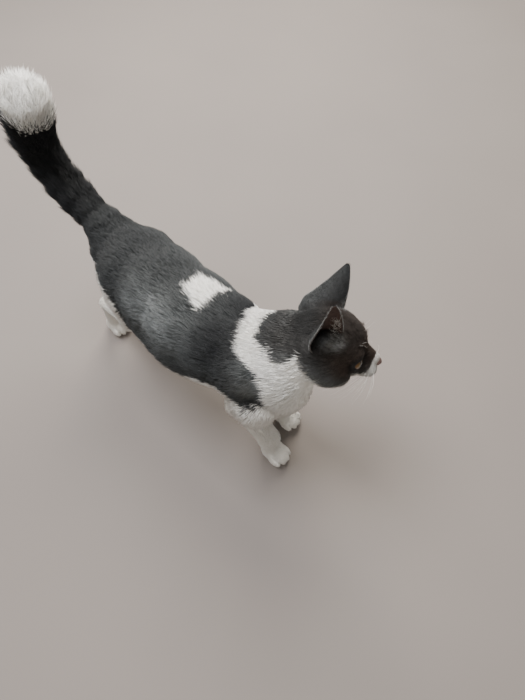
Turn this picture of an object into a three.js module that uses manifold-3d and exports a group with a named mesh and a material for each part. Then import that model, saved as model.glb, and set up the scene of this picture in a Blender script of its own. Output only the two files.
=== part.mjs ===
// A standing short-haired domestic cat, life size, as separate closed solids.
// Millimetres. +X is the way the body faces, +Y its left side, +Z up, the floor at z = 0.
// The surface of every solid is the tip of the coat.

import * as THREE from 'three';
import Module from 'manifold-3d';
import { mergeVertices } from 'three/addons/utils/BufferGeometryUtils.js';

const wasm = await Module();
wasm.setup();

// ---------------------------------------------------------------- driving dimensions

const gap = 0.3;
const legPull = { fore: 34, hind: 36 };

// stations of the trunk: x, y and z of the middle, half height, half width
const trunkStations = [
  [-156, 20, 194, 48, 48],
  [-120, 18, 191, 61, 62],
  [-66, 13, 185, 67, 65],
  [0, 10, 180, 70, 67],
  [58, 9, 181, 69, 64],
  [104, 10, 187, 66, 57],
  [140, 13, 194, 58, 48],
];

// stations of the tail: x, y, z and radius
const tailStations = [
  [-162, 22, 208, 36],
  [-184, 22, 225, 32],
  [-205, 21, 239, 27],
  [-228, 21, 251, 28],
  [-250, 21, 264, 29],
  [-269, 21, 281, 29],
  [-282, 21, 302, 29],
  [-287, 20, 325, 31],
  [-284, 20, 348, 32],
  [-277, 20, 368, 33],
  [-271, 20, 384, 32.5],
];

const headAt = [194.5, 59.5, 250];
const headYaw = 25;
const headRoll = -16;
const headScale = 1.08;
const eyeRadius = 10.4;
const eyeAt = [22.5, 18.5, 3];
const lidReach = 8.5;
const lidRadii = [7.5, 7.6, 6.2];
const gazeOut = 24;
const earFoot = { right: [-11, -32, 27], left: [-23, 30, 27] };
const earTip = { right: [-9, -37, 85], left: [-5, 45, 81] };
const earHalfWidth = 23;
const earFacing = { right: 48, left: 70 };

const shoulderX = 112;
const shoulderY = 8;
const hipX = -121;
const hipY = 14;
const kneeAt = [-108, 12, 128];
const elbowAt = [116, 9, 120];
const hockHeight = 76;
const wristHeight = 50;
const forePaws = { right: [176, -22], left: [152, 36] };
const hindPaws = { right: [-196, -22], left: [-208, 54] };
const pawLength = 50;
const pawWidth = 36;
const pawHeight = 29;

// ---------------------------------------------------------------- small helpers

const rad = THREE.MathUtils.degToRad;
const vec = (p) => new THREE.Vector3(p[0], p[1], p[2]);
const sides = { right: -1, left: 1 };

const headTurn = new THREE.Quaternion()
  .setFromAxisAngle(new THREE.Vector3(0, 0, 1), rad(headYaw))
  .multiply(new THREE.Quaternion().setFromAxisAngle(new THREE.Vector3(1, 0, 0), rad(headRoll)));

// a point of the head, given from the middle of the skull with x to the nose
function onHead(x, y, z) {
  return new THREE.Vector3(x, y, z).multiplyScalar(headScale).applyQuaternion(headTurn).add(vec(headAt));
}

// a rounded bar from a to b; squeeze above 1 makes it narrower across than it is high
function bar(a, b, radiusA, radiusB, blend, squeeze = 1) {
  const along = b.clone().sub(a);
  return { a, along, lengthSq: along.lengthSq(), radiusA, radiusB, blend, squeeze };
}

function ball(centre, radii, blend, turn = new THREE.Quaternion()) {
  return { centre, radii: vec(radii), blend, back: turn.clone().invert() };
}

const scratch = new THREE.Vector3();

function barDistance(bone, p) {
  scratch.copy(p).sub(bone.a);
  const t = THREE.MathUtils.clamp(scratch.dot(bone.along) / bone.lengthSq, 0, 1);
  scratch.addScaledVector(bone.along, -t);
  scratch.y *= bone.squeeze;
  const radius = bone.radiusA + (bone.radiusB - bone.radiusA) * t;
  return (scratch.length() - radius) / (1 + (bone.squeeze - 1) * 0.5);
}

function ballDistance(lump, p) {
  scratch.copy(p).sub(lump.centre).applyQuaternion(lump.back).divide(lump.radii);
  const inner = scratch.length();
  const slope = scratch.divide(lump.radii).length() + 1e-9;
  return (inner * (inner - 1)) / slope;
}

// distance to the skin of a list of bars and balls, each blended into those before it
function fleshDistance(flesh, p) {
  let distance = 1e3;
  for (const piece of flesh) {
    const next = piece.centre ? ballDistance(piece, p) : barDistance(piece, p);
    const share = THREE.MathUtils.clamp(0.5 + (0.5 * (distance - next)) / piece.blend, 0, 1);
    distance = distance * (1 - share) + next * share - piece.blend * share * (1 - share);
  }
  return distance;
}

// ---------------------------------------------------------------- the flesh

const trunk = [];
for (let i = 1; i < trunkStations.length; i += 1) {
  const from = trunkStations[i - 1];
  const to = trunkStations[i];
  const squeeze = (from[3] + to[3]) / (from[4] + to[4]);
  trunk.push(bar(vec(from), vec(to), from[3], to[3], 10, squeeze));
}
trunk.push(ball(new THREE.Vector3(154, 13, 167), [42, 43, 50], 16));
trunk.push(ball(new THREE.Vector3(-4, 7, 150), [104, 71, 47], 16));

const leanBack = new THREE.Quaternion().setFromAxisAngle(new THREE.Vector3(0, 1, 0), rad(-20));
const leanForward = new THREE.Quaternion().setFromAxisAngle(new THREE.Vector3(0, 1, 0), rad(18));
for (const side of Object.values(sides)) {
  const hip = new THREE.Vector3(hipX, hipY + side * 33, 168);
  const knee = new THREE.Vector3(kneeAt[0], kneeAt[1] + side * legPull.hind, kneeAt[2]);
  const thighTop = new THREE.Vector3(hipX + 8, hipY + side * 32, 162);
  trunk.push(ball(hip, [44, 25, 52], 16, leanBack));
  trunk.push(bar(thighTop, knee, 33, 24, 16));
  trunk.push(ball(new THREE.Vector3(-58, 10 + side * 42, 142), [62, 20, 36], 16));
  const blade = new THREE.Vector3(shoulderX, shoulderY + side * 36, 192);
  const elbow = new THREE.Vector3(elbowAt[0], elbowAt[1] + side * 36, elbowAt[2] + 2);
  const armTop = new THREE.Vector3(shoulderX + 30, shoulderY + side * 34, 156);
  trunk.push(ball(blade, [30, 19, 54], 16, leanForward));
  trunk.push(bar(armTop, elbow, 33, 23, 16));
}

const neck = [bar(new THREE.Vector3(126, 21, 209), new THREE.Vector3(177, 54, 243), 57, 47, 16)];

const tail = [];
for (let i = 1; i < tailStations.length; i += 1) {
  const from = tailStations[i - 1];
  const to = tailStations[i];
  tail.push(bar(vec(from), vec(to), from[3], to[3], i < 3 ? 14 : 3));
}

function toes(x, y, spread) {
  const lumps = [];
  for (let toe = 0; toe < 4; toe += 1) {
    const across = (toe - 1.5) * spread;
    const reach = x + 15 - Math.abs(toe - 1.5) * 4;
    lumps.push(ball(new THREE.Vector3(reach, y + across, 9.3), [12, 5.6, 10], 2.5));
  }
  return lumps;
}

function foreleg(sideName) {
  const side = sides[sideName];
  const [x, y] = forePaws[sideName];
  const elbow = new THREE.Vector3(elbowAt[0], elbowAt[1] + side * legPull.fore, elbowAt[2]);
  const wrist = new THREE.Vector3(x - 14, y, wristHeight);
  const ankle = new THREE.Vector3(x - 8, y, 20);
  const paw = ball(new THREE.Vector3(x, y, 13), [pawLength / 2, pawWidth / 2 - 1, pawHeight / 2], 8);
  const flesh = [bar(elbow, wrist, 22, 17, 12), bar(wrist, ankle, 16.5, 15, 8), paw, ...toes(x, y, 8.6)];
  return { elbow, wrist, ankle, flesh };
}

function hindLeg(sideName) {
  const side = sides[sideName];
  const [x, y] = hindPaws[sideName];
  const knee = new THREE.Vector3(kneeAt[0], kneeAt[1] + side * legPull.hind, kneeAt[2] - 2);
  const hock = new THREE.Vector3(x - 1, y, hockHeight);
  const ankle = new THREE.Vector3(x - 3, y, 22);
  const paw = ball(new THREE.Vector3(x, y, 13), [pawLength / 2 - 1, pawWidth / 2 - 1.5, pawHeight / 2], 8);
  const flesh = [bar(knee, hock, 24, 12.5, 12), bar(hock, ankle, 12.5, 13.5, 8), paw, ...toes(x, y, 8)];
  return { knee, hock, ankle, flesh };
}

const foreLegs = { right: foreleg('right'), left: foreleg('left') };
const hindLegs = { right: hindLeg('right'), left: hindLeg('left') };

function headBall(centre, radii, blend) {
  const scaled = radii.map((radius) => radius * headScale);
  return ball(onHead(...centre), scaled, blend, headTurn);
}

function headBar(from, to, radiusA, radiusB, blend) {
  return bar(onHead(...from), onHead(...to), radiusA * headScale, radiusB * headScale, blend);
}

const head = [headBall([-8, 0, 9], [43, 41, 37], 10)];
for (const side of Object.values(sides)) {
  head.push(headBall([-2, side * 24, -9], [29, 21, 26], 12));
}
head.push(headBall([14, 0, -20], [26, 20, 14], 8));
head.push(headBall([33, 0, -12], [20, 17, 13], 8));
head.push(headBar([14, 0, 14], [46, 0, -2], 15, 6.5, 8));
for (const side of Object.values(sides)) {
  head.push(headBall([40.5, side * 8.2, -13.5], [11.5, 9.6, 9], 4));
  head.push(headBall([21, side * 17, 12], [13, 12, 10], 11));
  head.push(headBall([20, side * 18, 1], [11, 11, 11], 5));
  head.push(headBar([-14, side * 27, 22], [-11, side * 35, 38], 16, 8, 10));
}
head.push(headBall([37, 0, -24.5], [11, 9, 7], 4));

const throat = [...trunk, ...neck];
const wholeBody = [...throat, ...tail, ...foreLegs.right.flesh, ...foreLegs.left.flesh];
wholeBody.push(...hindLegs.right.flesh, ...hindLegs.left.flesh, ...head);

// ---------------------------------------------------------------- closed skins

// the first point outside the flesh on a ray from inside it, no farther than reach
function skinPoint(flesh, from, direction, reach, offset) {
  const p = from.clone();
  let travelled = 0;
  for (let step = 0; step < 90; step += 1) {
    const depth = offset - fleshDistance(flesh, p);
    if (depth < 1e-3) {
      break;
    }
    travelled = Math.min(travelled + Math.max(depth * 0.85, 1e-3), reach);
    p.copy(from).addScaledVector(direction, travelled);
    if (travelled === reach) {
      break;
    }
  }
  return p;
}

function bufferSolid(positions, index) {
  const geometry = new THREE.BufferGeometry();
  geometry.setAttribute('position', new THREE.Float32BufferAttribute(positions, 3));
  geometry.setIndex(index);
  return geometry;
}

// a skin around an axis of points: rings square to it, and a round cap of rings at each end
function loft(flesh, axis, { around = 24, rings = 12, caps = 5, reach = 90, offset = 0 }) {
  const curve = new THREE.CatmullRomCurve3(axis, false, 'centripetal');
  const steep = Math.abs(curve.getTangentAt(0.5).z) > 0.8;
  const upHint = steep ? new THREE.Vector3(1, 0, 0) : new THREE.Vector3(0, 0, 1);
  const rows = [];
  for (let i = 0; i < caps; i += 1) {
    rows.push({ t: 0, tilt: -Math.PI / 2 + ((i + 0.5) / (caps + 0.5)) * (Math.PI / 2) });
  }
  for (let i = 0; i <= rings; i += 1) {
    rows.push({ t: i / rings, tilt: 0 });
  }
  for (let i = caps - 1; i >= 0; i -= 1) {
    rows.push({ t: 1, tilt: Math.PI / 2 - ((i + 0.5) / (caps + 0.5)) * (Math.PI / 2) });
  }
  const positions = [];
  const direction = new THREE.Vector3();
  const cast = (t, tilt, turn) => {
    const tangent = curve.getTangentAt(t);
    const side = new THREE.Vector3().crossVectors(upHint, tangent).normalize();
    const up = new THREE.Vector3().crossVectors(tangent, side);
    direction.set(0, 0, 0).addScaledVector(side, Math.cos(turn)).addScaledVector(up, Math.sin(turn));
    direction.multiplyScalar(Math.cos(tilt)).addScaledVector(tangent, Math.sin(tilt));
    positions.push(...skinPoint(flesh, curve.getPointAt(t), direction, reach, offset).toArray());
  };
  cast(0, -Math.PI / 2, 0);
  for (const row of rows) {
    for (let j = 0; j < around; j += 1) {
      cast(row.t, row.tilt, (j / around) * Math.PI * 2);
    }
  }
  cast(1, Math.PI / 2, 0);
  const index = [];
  const last = positions.length / 3 - 1;
  for (let j = 0; j < around; j += 1) {
    const next = (j + 1) % around;
    index.push(0, 1 + next, 1 + j);
    for (let i = 0; i < rows.length - 1; i += 1) {
      const a = 1 + i * around + j;
      const b = 1 + i * around + next;
      index.push(a, b, b + around, a, b + around, a + around);
    }
    const top = 1 + (rows.length - 1) * around;
    index.push(last, top + j, top + next);
  }
  return bufferSolid(positions, index);
}

// ---------------------------------------------------------------- joins and cuts

function toSolid(geometry) {
  const bare = geometry.clone();
  bare.deleteAttribute('normal');
  bare.deleteAttribute('uv');
  const merged = mergeVertices(bare, 1e-4);
  const vertProperties = new Float32Array(merged.attributes.position.array);
  const triVerts = new Uint32Array(merged.index.array);
  return new wasm.Manifold(new wasm.Mesh({ numProp: 3, vertProperties, triVerts }));
}

// the largest body of a cut solid, without any crumb cut loose beside it
function toGeometry(solid) {
  const bodies = solid.decompose().sort((one, other) => other.volume() - one.volume());
  const mesh = bodies[0].getMesh();
  const geometry = bufferSolid(mesh.vertProperties, Array.from(mesh.triVerts));
  geometry.computeVertexNormals();
  return geometry;
}

// a block of space on the far side of a plane
function beyond(point, normal, slack = 0, size = 1200) {
  const out = normal.clone().normalize();
  const block = new THREE.BoxGeometry(size, size, size);
  const turn = new THREE.Quaternion().setFromUnitVectors(new THREE.Vector3(0, 0, 1), out);
  const middle = point.clone().addScaledVector(out, size / 2 + slack);
  block.applyMatrix4(new THREE.Matrix4().compose(middle, turn, new THREE.Vector3(1, 1, 1)));
  return toSolid(block);
}

function blockBetween(low, high) {
  const block = new THREE.BoxGeometry(high[0] - low[0], high[1] - low[1], high[2] - low[2]);
  block.translate((high[0] + low[0]) / 2, (high[1] + low[1]) / 2, (high[2] + low[2]) / 2);
  return toSolid(block);
}

function egg(centre, radii, turn = new THREE.Quaternion(), columns = 12, bands = 8) {
  const sphere = new THREE.SphereGeometry(1, columns, bands);
  sphere.rotateX(Math.PI / 2);
  sphere.applyMatrix4(new THREE.Matrix4().compose(centre, turn, vec(radii)));
  return toSolid(sphere);
}

// ---------------------------------------------------------------- where the parts divide

const half = gap / 2;
const floor = beyond(new THREE.Vector3(0, 0, 0), new THREE.Vector3(0, 0, -1));
const napeNormal = new THREE.Vector3(0.86, 0.36, 0.36);
const napePoint = onHead(-30, 0, -10);
const collarNormal = new THREE.Vector3(0.8, 0.2, 0.56);
const collarPoint = new THREE.Vector3(150, 25, 205);
const dockNormal = new THREE.Vector3(-0.77, 0, 0.64);
const dockPoint = new THREE.Vector3(-179, 20, 222);

const legTopHeight = 112;
const upperCutHeight = 103;
const pawCutHeight = 33;

function forelegSpace(sideName, grow) {
  const side = sides[sideName];
  const inner = shoulderY + side * (1 - grow);
  const outer = shoulderY + side * 200;
  const low = [50 - grow, Math.min(inner, outer), -50];
  const high = [300, Math.max(inner, outer), legTopHeight + grow];
  const shoulder = egg(
    new THREE.Vector3(128, shoulderY + side * 52, 128),
    [46 + grow, 39 + grow, 80 + grow],
  );
  return blockBetween(low, high).add(shoulder);
}

function hindLegSpace(sideName, grow) {
  const side = sides[sideName];
  const inner = hipY + side * (1 - grow);
  const outer = hipY + side * 200;
  const low = [-400, Math.min(inner, outer), -50];
  const high = [-58 + grow, Math.max(inner, outer), legTopHeight + grow];
  const haunch = egg(
    new THREE.Vector3(-136, hipY + side * 58, 128),
    [68 + grow, 44 + grow, 92 + grow],
  );
  return blockBetween(low, high).add(haunch);
}

// ---------------------------------------------------------------- the solids

const cat = new THREE.Group();

function add(name, solid, color, roughness = 0.85) {
  const geometry = solid.isBufferGeometry ? solid : toGeometry(solid);
  const material = new THREE.MeshStandardMaterial({ color, roughness, metalness: 0, flatShading: true });
  const mesh = new THREE.Mesh(geometry, material);
  mesh.name = name;
  cat.add(mesh);
}

const grey = '#55595b';
const darkGrey = '#34373a';
const white = '#e6e2d8';
const creamWhite = '#d9cfbf';

// trunk, in three lengths
const trunkFlesh = [...trunk, ...neck, ...tail.slice(0, 4)];
const trunkAxis = trunkStations.map((station) => vec(station));
trunkAxis[0].x += 12;
trunkAxis[trunkAxis.length - 1].x -= 6;
let torso = toSolid(loft(trunkFlesh, trunkAxis, { around: 25, rings: 13, caps: 3, reach: 100 }));
torso = torso.subtract(beyond(collarPoint, collarNormal, -half));
torso = torso.subtract(beyond(dockPoint, dockNormal, -half));
for (const sideName of Object.keys(sides)) {
  torso = torso.subtract(forelegSpace(sideName, half)).subtract(hindLegSpace(sideName, half));
}
const ahead = new THREE.Vector3(1, 0, 0);
const astern = new THREE.Vector3(-1, 0, 0);
const ribEnd = new THREE.Vector3(40, 0, 0);
const loinEnd = new THREE.Vector3(-62, 0, 0);
add('trunk_chest', torso.intersect(beyond(ribEnd, ahead, half)), grey);
add('trunk_loin', torso.subtract(beyond(ribEnd, ahead, -half)).subtract(beyond(loinEnd, astern, -half)), grey);
add('trunk_rump', torso.intersect(beyond(loinEnd, astern, half)), grey);

// neck
const neckAxis = [
  new THREE.Vector3(122, 16, 203),
  new THREE.Vector3(150, 34, 223),
  new THREE.Vector3(186, 54, 246),
];
const neckFlesh = [...throat, ...head];
const neckShape = (offset) => {
  return toSolid(loft(neckFlesh, neckAxis, { around: 24, rings: 5, caps: 2, reach: 92, offset }));
};
const neckSpace = (solid) => {
  return solid.intersect(beyond(collarPoint, collarNormal, half)).subtract(beyond(napePoint, napeNormal, -half));
};
let nape = neckSpace(neckShape(0));
for (const sideName of Object.keys(sides)) {
  nape = nape.subtract(forelegSpace(sideName, half));
}
add('neck', nape, white);

// head with its eyes, nose and ears
const skullAxis = [onHead(-20, 0, 0), onHead(4, 0, -1), onHead(30, 0, -8)];
const skullShape = (offset) => {
  return toSolid(loft([...throat, ...head], skullAxis, { around: 28, rings: 8, caps: 6, reach: 76, offset }));
};
const headSpace = (solid) => solid.intersect(beyond(napePoint, napeNormal, half));
let skull = headSpace(skullShape(0));
const nosePoint = onHead(50.5, 0, -6.5);
const noseRadii = [4.6, 7.4, 5.2];
skull = skull.subtract(egg(nosePoint, noseRadii.map((radius) => radius + gap), headTurn, 10, 6));
for (const side of Object.values(sides)) {
  const centre = onHead(eyeAt[0], side * eyeAt[1], eyeAt[2]);
  const radius = eyeRadius * headScale;
  skull = skull.subtract(egg(centre, [radius + gap, radius + gap, radius + gap], headTurn, 10, 7));
  const turnOut = new THREE.Quaternion().setFromAxisAngle(new THREE.Vector3(0, 0, 1), rad(side * gazeOut));
  const gaze = headTurn.clone().multiply(turnOut);
  const opening = new THREE.Vector3(lidReach, 0, 0).applyQuaternion(gaze).add(centre);
  skull = skull.subtract(egg(opening, lidRadii, gaze, 8, 5));
}
add('head', skull, darkGrey);
add('nose', egg(nosePoint, noseRadii, headTurn, 10, 6), '#8d6a66', 0.5);

for (const [sideName, side] of Object.entries(sides)) {
  const centre = onHead(eyeAt[0], side * eyeAt[1], eyeAt[2]);
  const radius = eyeRadius * headScale;
  add(`eye_${sideName}`, egg(centre, [radius, radius, radius], headTurn, 10, 7), '#8a6a2c', 0.15);
}

// an ear: a shell rolled about its own height, open forwards and outwards, pointed above
function earShell(sideName) {
  const side = sides[sideName];
  const facing = rad(earFacing[sideName]);
  const foot = onHead(...earFoot[sideName]);
  const tip = onHead(...earTip[sideName]);
  const height = tip.clone().sub(foot);
  const upright = height.clone().normalize();
  const open = new THREE.Vector3(Math.cos(facing), side * Math.sin(facing), 0.1);
  open.applyQuaternion(headTurn);
  open.addScaledVector(upright, -open.dot(upright)).normalize();
  const across = new THREE.Vector3().crossVectors(upright, open);
  const rows = 6;
  const columns = 6;
  const positions = [];
  const ringSize = 2 * (columns + 1);
  for (let i = 0; i <= rows; i += 1) {
    const v = -0.28 + (1.28 * i) / rows;
    const rise = Math.max(v, 0);
    const halfWidth = headScale * (earHalfWidth * Math.pow(1 - rise, 0.8) + 1.6);
    const roll = rad(84 - 44 * rise);
    const radius = halfWidth / Math.sin(roll);
    const thick = 4.6 - 2.2 * rise;
    const lean = -side * 12 * rise * (1 - rise);
    const middle = foot.clone().addScaledVector(height, v).addScaledVector(across, lean);
    middle.addScaledVector(open, radius * Math.cos(roll));
    for (const layer of [0, 1]) {
      for (let j = 0; j <= columns; j += 1) {
        const share = layer === 0 ? j / columns : 1 - j / columns;
        const turn = roll * (2 * share - 1);
        const thin = thick * (0.35 + 0.65 * Math.sin(Math.PI * share));
        const from = radius - layer * Math.min(thin, radius * 0.55);
        const point = middle.clone().addScaledVector(open, -from * Math.cos(turn));
        positions.push(...point.addScaledVector(across, from * Math.sin(turn)).toArray());
      }
    }
  }
  const below = positions.length / 3;
  const mean = (row) => {
    const sum = new THREE.Vector3();
    for (let j = 0; j < ringSize; j += 1) {
      sum.add(new THREE.Vector3().fromArray(positions, 3 * (row * ringSize + j)));
    }
    return sum.divideScalar(ringSize);
  };
  const index = [];
  for (let i = 0; i < rows; i += 1) {
    for (let j = 0; j < ringSize; j += 1) {
      const a = i * ringSize + j;
      const b = i * ringSize + ((j + 1) % ringSize);
      index.push(a, b + ringSize, b, a, a + ringSize, b + ringSize);
    }
  }
  positions.push(...mean(0).toArray());
  positions.push(...mean(rows).toArray());
  for (let j = 0; j < ringSize; j += 1) {
    const next = (j + 1) % ringSize;
    index.push(below, j, next);
    index.push(below + 1, rows * ringSize + next, rows * ringSize + j);
  }
  return toSolid(bufferSolid(positions, index));
}

const skullClear = skullShape(gap);
const neckClear = neckShape(gap);
for (const sideName of Object.keys(sides)) {
  add(`ear_${sideName}`, earShell(sideName).subtract(skullClear).subtract(neckClear), grey);
}

// tail, in three lengths, each about a straight axis of its own
const tailSpans = [[0, 4], [4, 7], [7, 10]];
const tailNames = ['tail_base', 'tail_middle', 'tail_tip'];
const tailColours = [grey, darkGrey, white];
const tailCuts = [{ point: dockPoint, normal: dockNormal }];
for (const station of [tailSpans[1][0], tailSpans[2][0]]) {
  const normal = vec(tailStations[station + 1]).sub(vec(tailStations[station - 1])).normalize();
  tailCuts.push({ point: vec(tailStations[station]), normal });
}
tailSpans.forEach(([first, last], i) => {
  const start = vec(tailStations[first]);
  const end = vec(tailStations[last]);
  const shape = toSolid(loft([...trunk, ...tail], [start, end], { around: 18, rings: 5, caps: 4, reach: 64 }));
  let length = shape.intersect(beyond(tailCuts[i].point, tailCuts[i].normal, half));
  if (i + 1 < tailCuts.length) {
    length = length.subtract(beyond(tailCuts[i + 1].point, tailCuts[i + 1].normal, -half));
  }
  add(tailNames[i], length, tailColours[i]);
});

// legs
const down = new THREE.Vector3(0, 0, -1);
const elbowCut = new THREE.Vector3(0, 0, upperCutHeight);
const pawCut = new THREE.Vector3(0, 0, pawCutHeight);
for (const [sideName, side] of Object.entries(sides)) {
  const leg = foreLegs[sideName];
  const flesh = [...throat, ...leg.flesh];
  const space = forelegSpace(sideName, -half);
  const armAxis = [
    new THREE.Vector3(124, shoulderY + side * 42, 186),
    new THREE.Vector3(128, shoulderY + side * 38, 150),
    new THREE.Vector3(118, shoulderY + side * 35, 100),
  ];
  const arm = toSolid(loft(flesh, armAxis, { around: 16, rings: 5, caps: 2, reach: 66 }));
  add(`foreleg_${sideName}_upper`, arm.intersect(space).subtract(beyond(elbowCut, down, -half)), grey);
  const foreAxis = [leg.elbow.clone().setZ(116), leg.wrist, leg.ankle];
  const forearm = toSolid(loft(flesh, foreAxis, { around: 12, rings: 4, caps: 2, reach: 40 }));
  const forearmSpace = space.intersect(beyond(elbowCut, down, half)).subtract(beyond(pawCut, down, -half));
  add(`foreleg_${sideName}_forearm`, forearm.intersect(forearmSpace), white);
  const [x, y] = forePaws[sideName];
  const pawAxis = [new THREE.Vector3(x - 10, y, 15), new THREE.Vector3(x + 10, y, 12)];
  const paw = toSolid(loft(flesh, pawAxis, { around: 14, rings: 2, caps: 4, reach: 36 }));
  add(`foreleg_${sideName}_paw`, paw.intersect(beyond(pawCut, down, half)).subtract(floor), creamWhite);
}

for (const [sideName, side] of Object.entries(sides)) {
  const leg = hindLegs[sideName];
  const flesh = [...trunk, ...leg.flesh];
  const space = hindLegSpace(sideName, -half);
  const thighAxis = [
    new THREE.Vector3(-138, hipY + side * 38, 182),
    new THREE.Vector3(-128, hipY + side * 38, 150),
    new THREE.Vector3(-112, hipY + side * 37, 104),
  ];
  const thigh = toSolid(loft(flesh, thighAxis, { around: 16, rings: 5, caps: 2, reach: 76 }));
  const kneeNormal = new THREE.Vector3(-0.62, 0, -0.78);
  const kneePoint = new THREE.Vector3(-128, 0, 100);
  add(`hindleg_${sideName}_thigh`, thigh.intersect(space).subtract(beyond(kneePoint, kneeNormal, -half)), grey);
  const shankAxis = [leg.knee, leg.hock];
  const shank = toSolid(loft(flesh, shankAxis, { around: 12, rings: 5, caps: 2, reach: 46 }));
  const hockNormal = new THREE.Vector3(-0.35, 0, -0.94);
  const hockPoint = leg.hock.clone();
  const shankSpace = space.intersect(beyond(kneePoint, kneeNormal, half));
  const shankEnd = beyond(hockPoint, hockNormal, -half);
  add(`hindleg_${sideName}_shank`, shank.intersect(shankSpace).subtract(shankEnd), white);
  const [x, y] = hindPaws[sideName];
  const footAxis = [leg.hock.clone().setZ(hockHeight - 2), leg.ankle];
  const foot = toSolid(loft(flesh, footAxis, { around: 10, rings: 3, caps: 2, reach: 30 }));
  const footSpace = space.intersect(beyond(hockPoint, hockNormal, half)).subtract(beyond(pawCut, down, -half));
  add(`hindleg_${sideName}_foot`, foot.intersect(footSpace), white);
  const pawAxis = [new THREE.Vector3(x - 10, y, 15), new THREE.Vector3(x + 9, y, 12)];
  const paw = toSolid(loft(flesh, pawAxis, { around: 14, rings: 2, caps: 4, reach: 36 }));
  add(`hindleg_${sideName}_paw`, paw.intersect(beyond(pawCut, down, half)).subtract(floor), creamWhite);
}

// the origin is under the middle of the whole cat, on the floor
const box = new THREE.Box3().setFromObject(cat);
const centre = box.getCenter(new THREE.Vector3());
cat.position.set(-centre.x, -centre.y, -box.min.z);

export default cat;
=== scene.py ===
"""A standing grey and white shorthair cat, tail raised and head turned, as a still, life-size model.

The body's own frame is in millimetres, +X forwards, +Y to the cat's left, +Z up, with the floor at zero.
"""

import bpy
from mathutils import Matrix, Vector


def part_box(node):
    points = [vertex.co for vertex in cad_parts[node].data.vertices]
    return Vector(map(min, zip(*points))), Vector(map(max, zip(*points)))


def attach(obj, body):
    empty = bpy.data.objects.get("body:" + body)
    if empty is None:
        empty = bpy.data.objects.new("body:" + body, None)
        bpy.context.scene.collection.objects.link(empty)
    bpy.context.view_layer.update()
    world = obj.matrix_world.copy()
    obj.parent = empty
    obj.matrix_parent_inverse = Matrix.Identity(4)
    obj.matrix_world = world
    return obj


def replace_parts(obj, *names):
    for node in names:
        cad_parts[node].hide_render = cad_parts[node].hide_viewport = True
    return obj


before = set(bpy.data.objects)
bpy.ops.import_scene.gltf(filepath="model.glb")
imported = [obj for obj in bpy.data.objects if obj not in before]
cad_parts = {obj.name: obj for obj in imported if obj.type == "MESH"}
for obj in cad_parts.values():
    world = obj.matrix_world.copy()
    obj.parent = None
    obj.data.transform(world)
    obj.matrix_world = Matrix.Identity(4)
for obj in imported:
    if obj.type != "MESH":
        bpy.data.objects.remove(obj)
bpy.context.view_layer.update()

import logging
import math
from dataclasses import dataclass, field
from enum import Enum
from typing import Iterator, Sequence

import bpy
import numpy as np
import openvdb
from mathutils import Matrix, Vector

LOG = logging.getLogger("cat")
SIDES = {"right": -1, "left": 1}
UP = np.array([0.0, 0.0, 1.0])
# all lengths are in millimetres: one beyond any of the cat, and half the step that a slope is read over
FAR = 1e3
SLOPE_STEP = 0.4
# how far the muscles of the trunk run into each other, and the small parts of the paws and face into theirs
MUSCLE_BLEND = 16
LIMB_BLEND = 12
PAW_BLEND = 8
NECK_ENDS = ((126, 21, 209), (177, 54, 243))
# the skull's middle and radii, in the head's frame
SKULL = ((-8, 0, 9), (43, 41, 37))

Spot = tuple[float, ...]


class Zone(Enum):
    """The parts of the coat, each made as a piece of its own."""

    CHEST = 0
    LOIN = 1
    RUMP = 2
    NECK = 3
    HEAD = 4
    TAIL = 5
    FORELEGS = 6
    HINDLEGS = 7
    EARS = 8


def unit(v: np.ndarray) -> np.ndarray:
    """Return vectors scaled to length one along their last axis."""
    return v / (np.linalg.norm(v, axis=-1, keepdims=True) + 1e-12)


def turn_about(axis: str, degrees: float) -> np.ndarray:
    """Return the 3 by 3 turn by an angle about one axis.

    Args:
        axis: "x", "y" or "z".
        degrees: The angle, right-handed.

    Returns:
        The matrix that turns column vectors.
    """
    return np.array(Matrix.Rotation(math.radians(degrees), 3, axis.upper()))


@dataclass(frozen=True)
class Bar:
    """A rounded bar of flesh between two points, in millimetres of the body's own frame."""

    start: tuple[float, float, float]
    end: tuple[float, float, float]
    radii: tuple[float, float]
    blend: float
    coat: tuple[float, float]
    squeeze: float = 1.0
    lie: tuple[float, float, float] | None = None

    def distance(self, points: np.ndarray) -> tuple[np.ndarray, np.ndarray]:
        """Return each point's distance to the bar's outer surface, and its coat depth.

        Args:
            points: One row of x, y, z for each point.

        Returns:
            The distances and the coat depths, in millimetres.
        """
        a, b = np.array(self.start), np.array(self.end)
        along = b - a
        offset = points - a
        t = np.clip(offset @ along / (along @ along), 0.0, 1.0)
        offset = offset - t[:, None] * along
        offset[:, 1] *= self.squeeze
        radius = self.radii[0] + (self.radii[1] - self.radii[0]) * t
        far = (np.sqrt(np.einsum("ij,ij->i", offset, offset)) - radius) / (1 + (self.squeeze - 1) * 0.5)
        return far, self.coat[0] + (self.coat[1] - self.coat[0]) * t

    def lie_of_hair(self) -> np.ndarray:
        """Return the way the hair lies here, from root to tip."""
        return unit(np.array(self.lie if self.lie else np.subtract(self.end, self.start), float))


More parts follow.
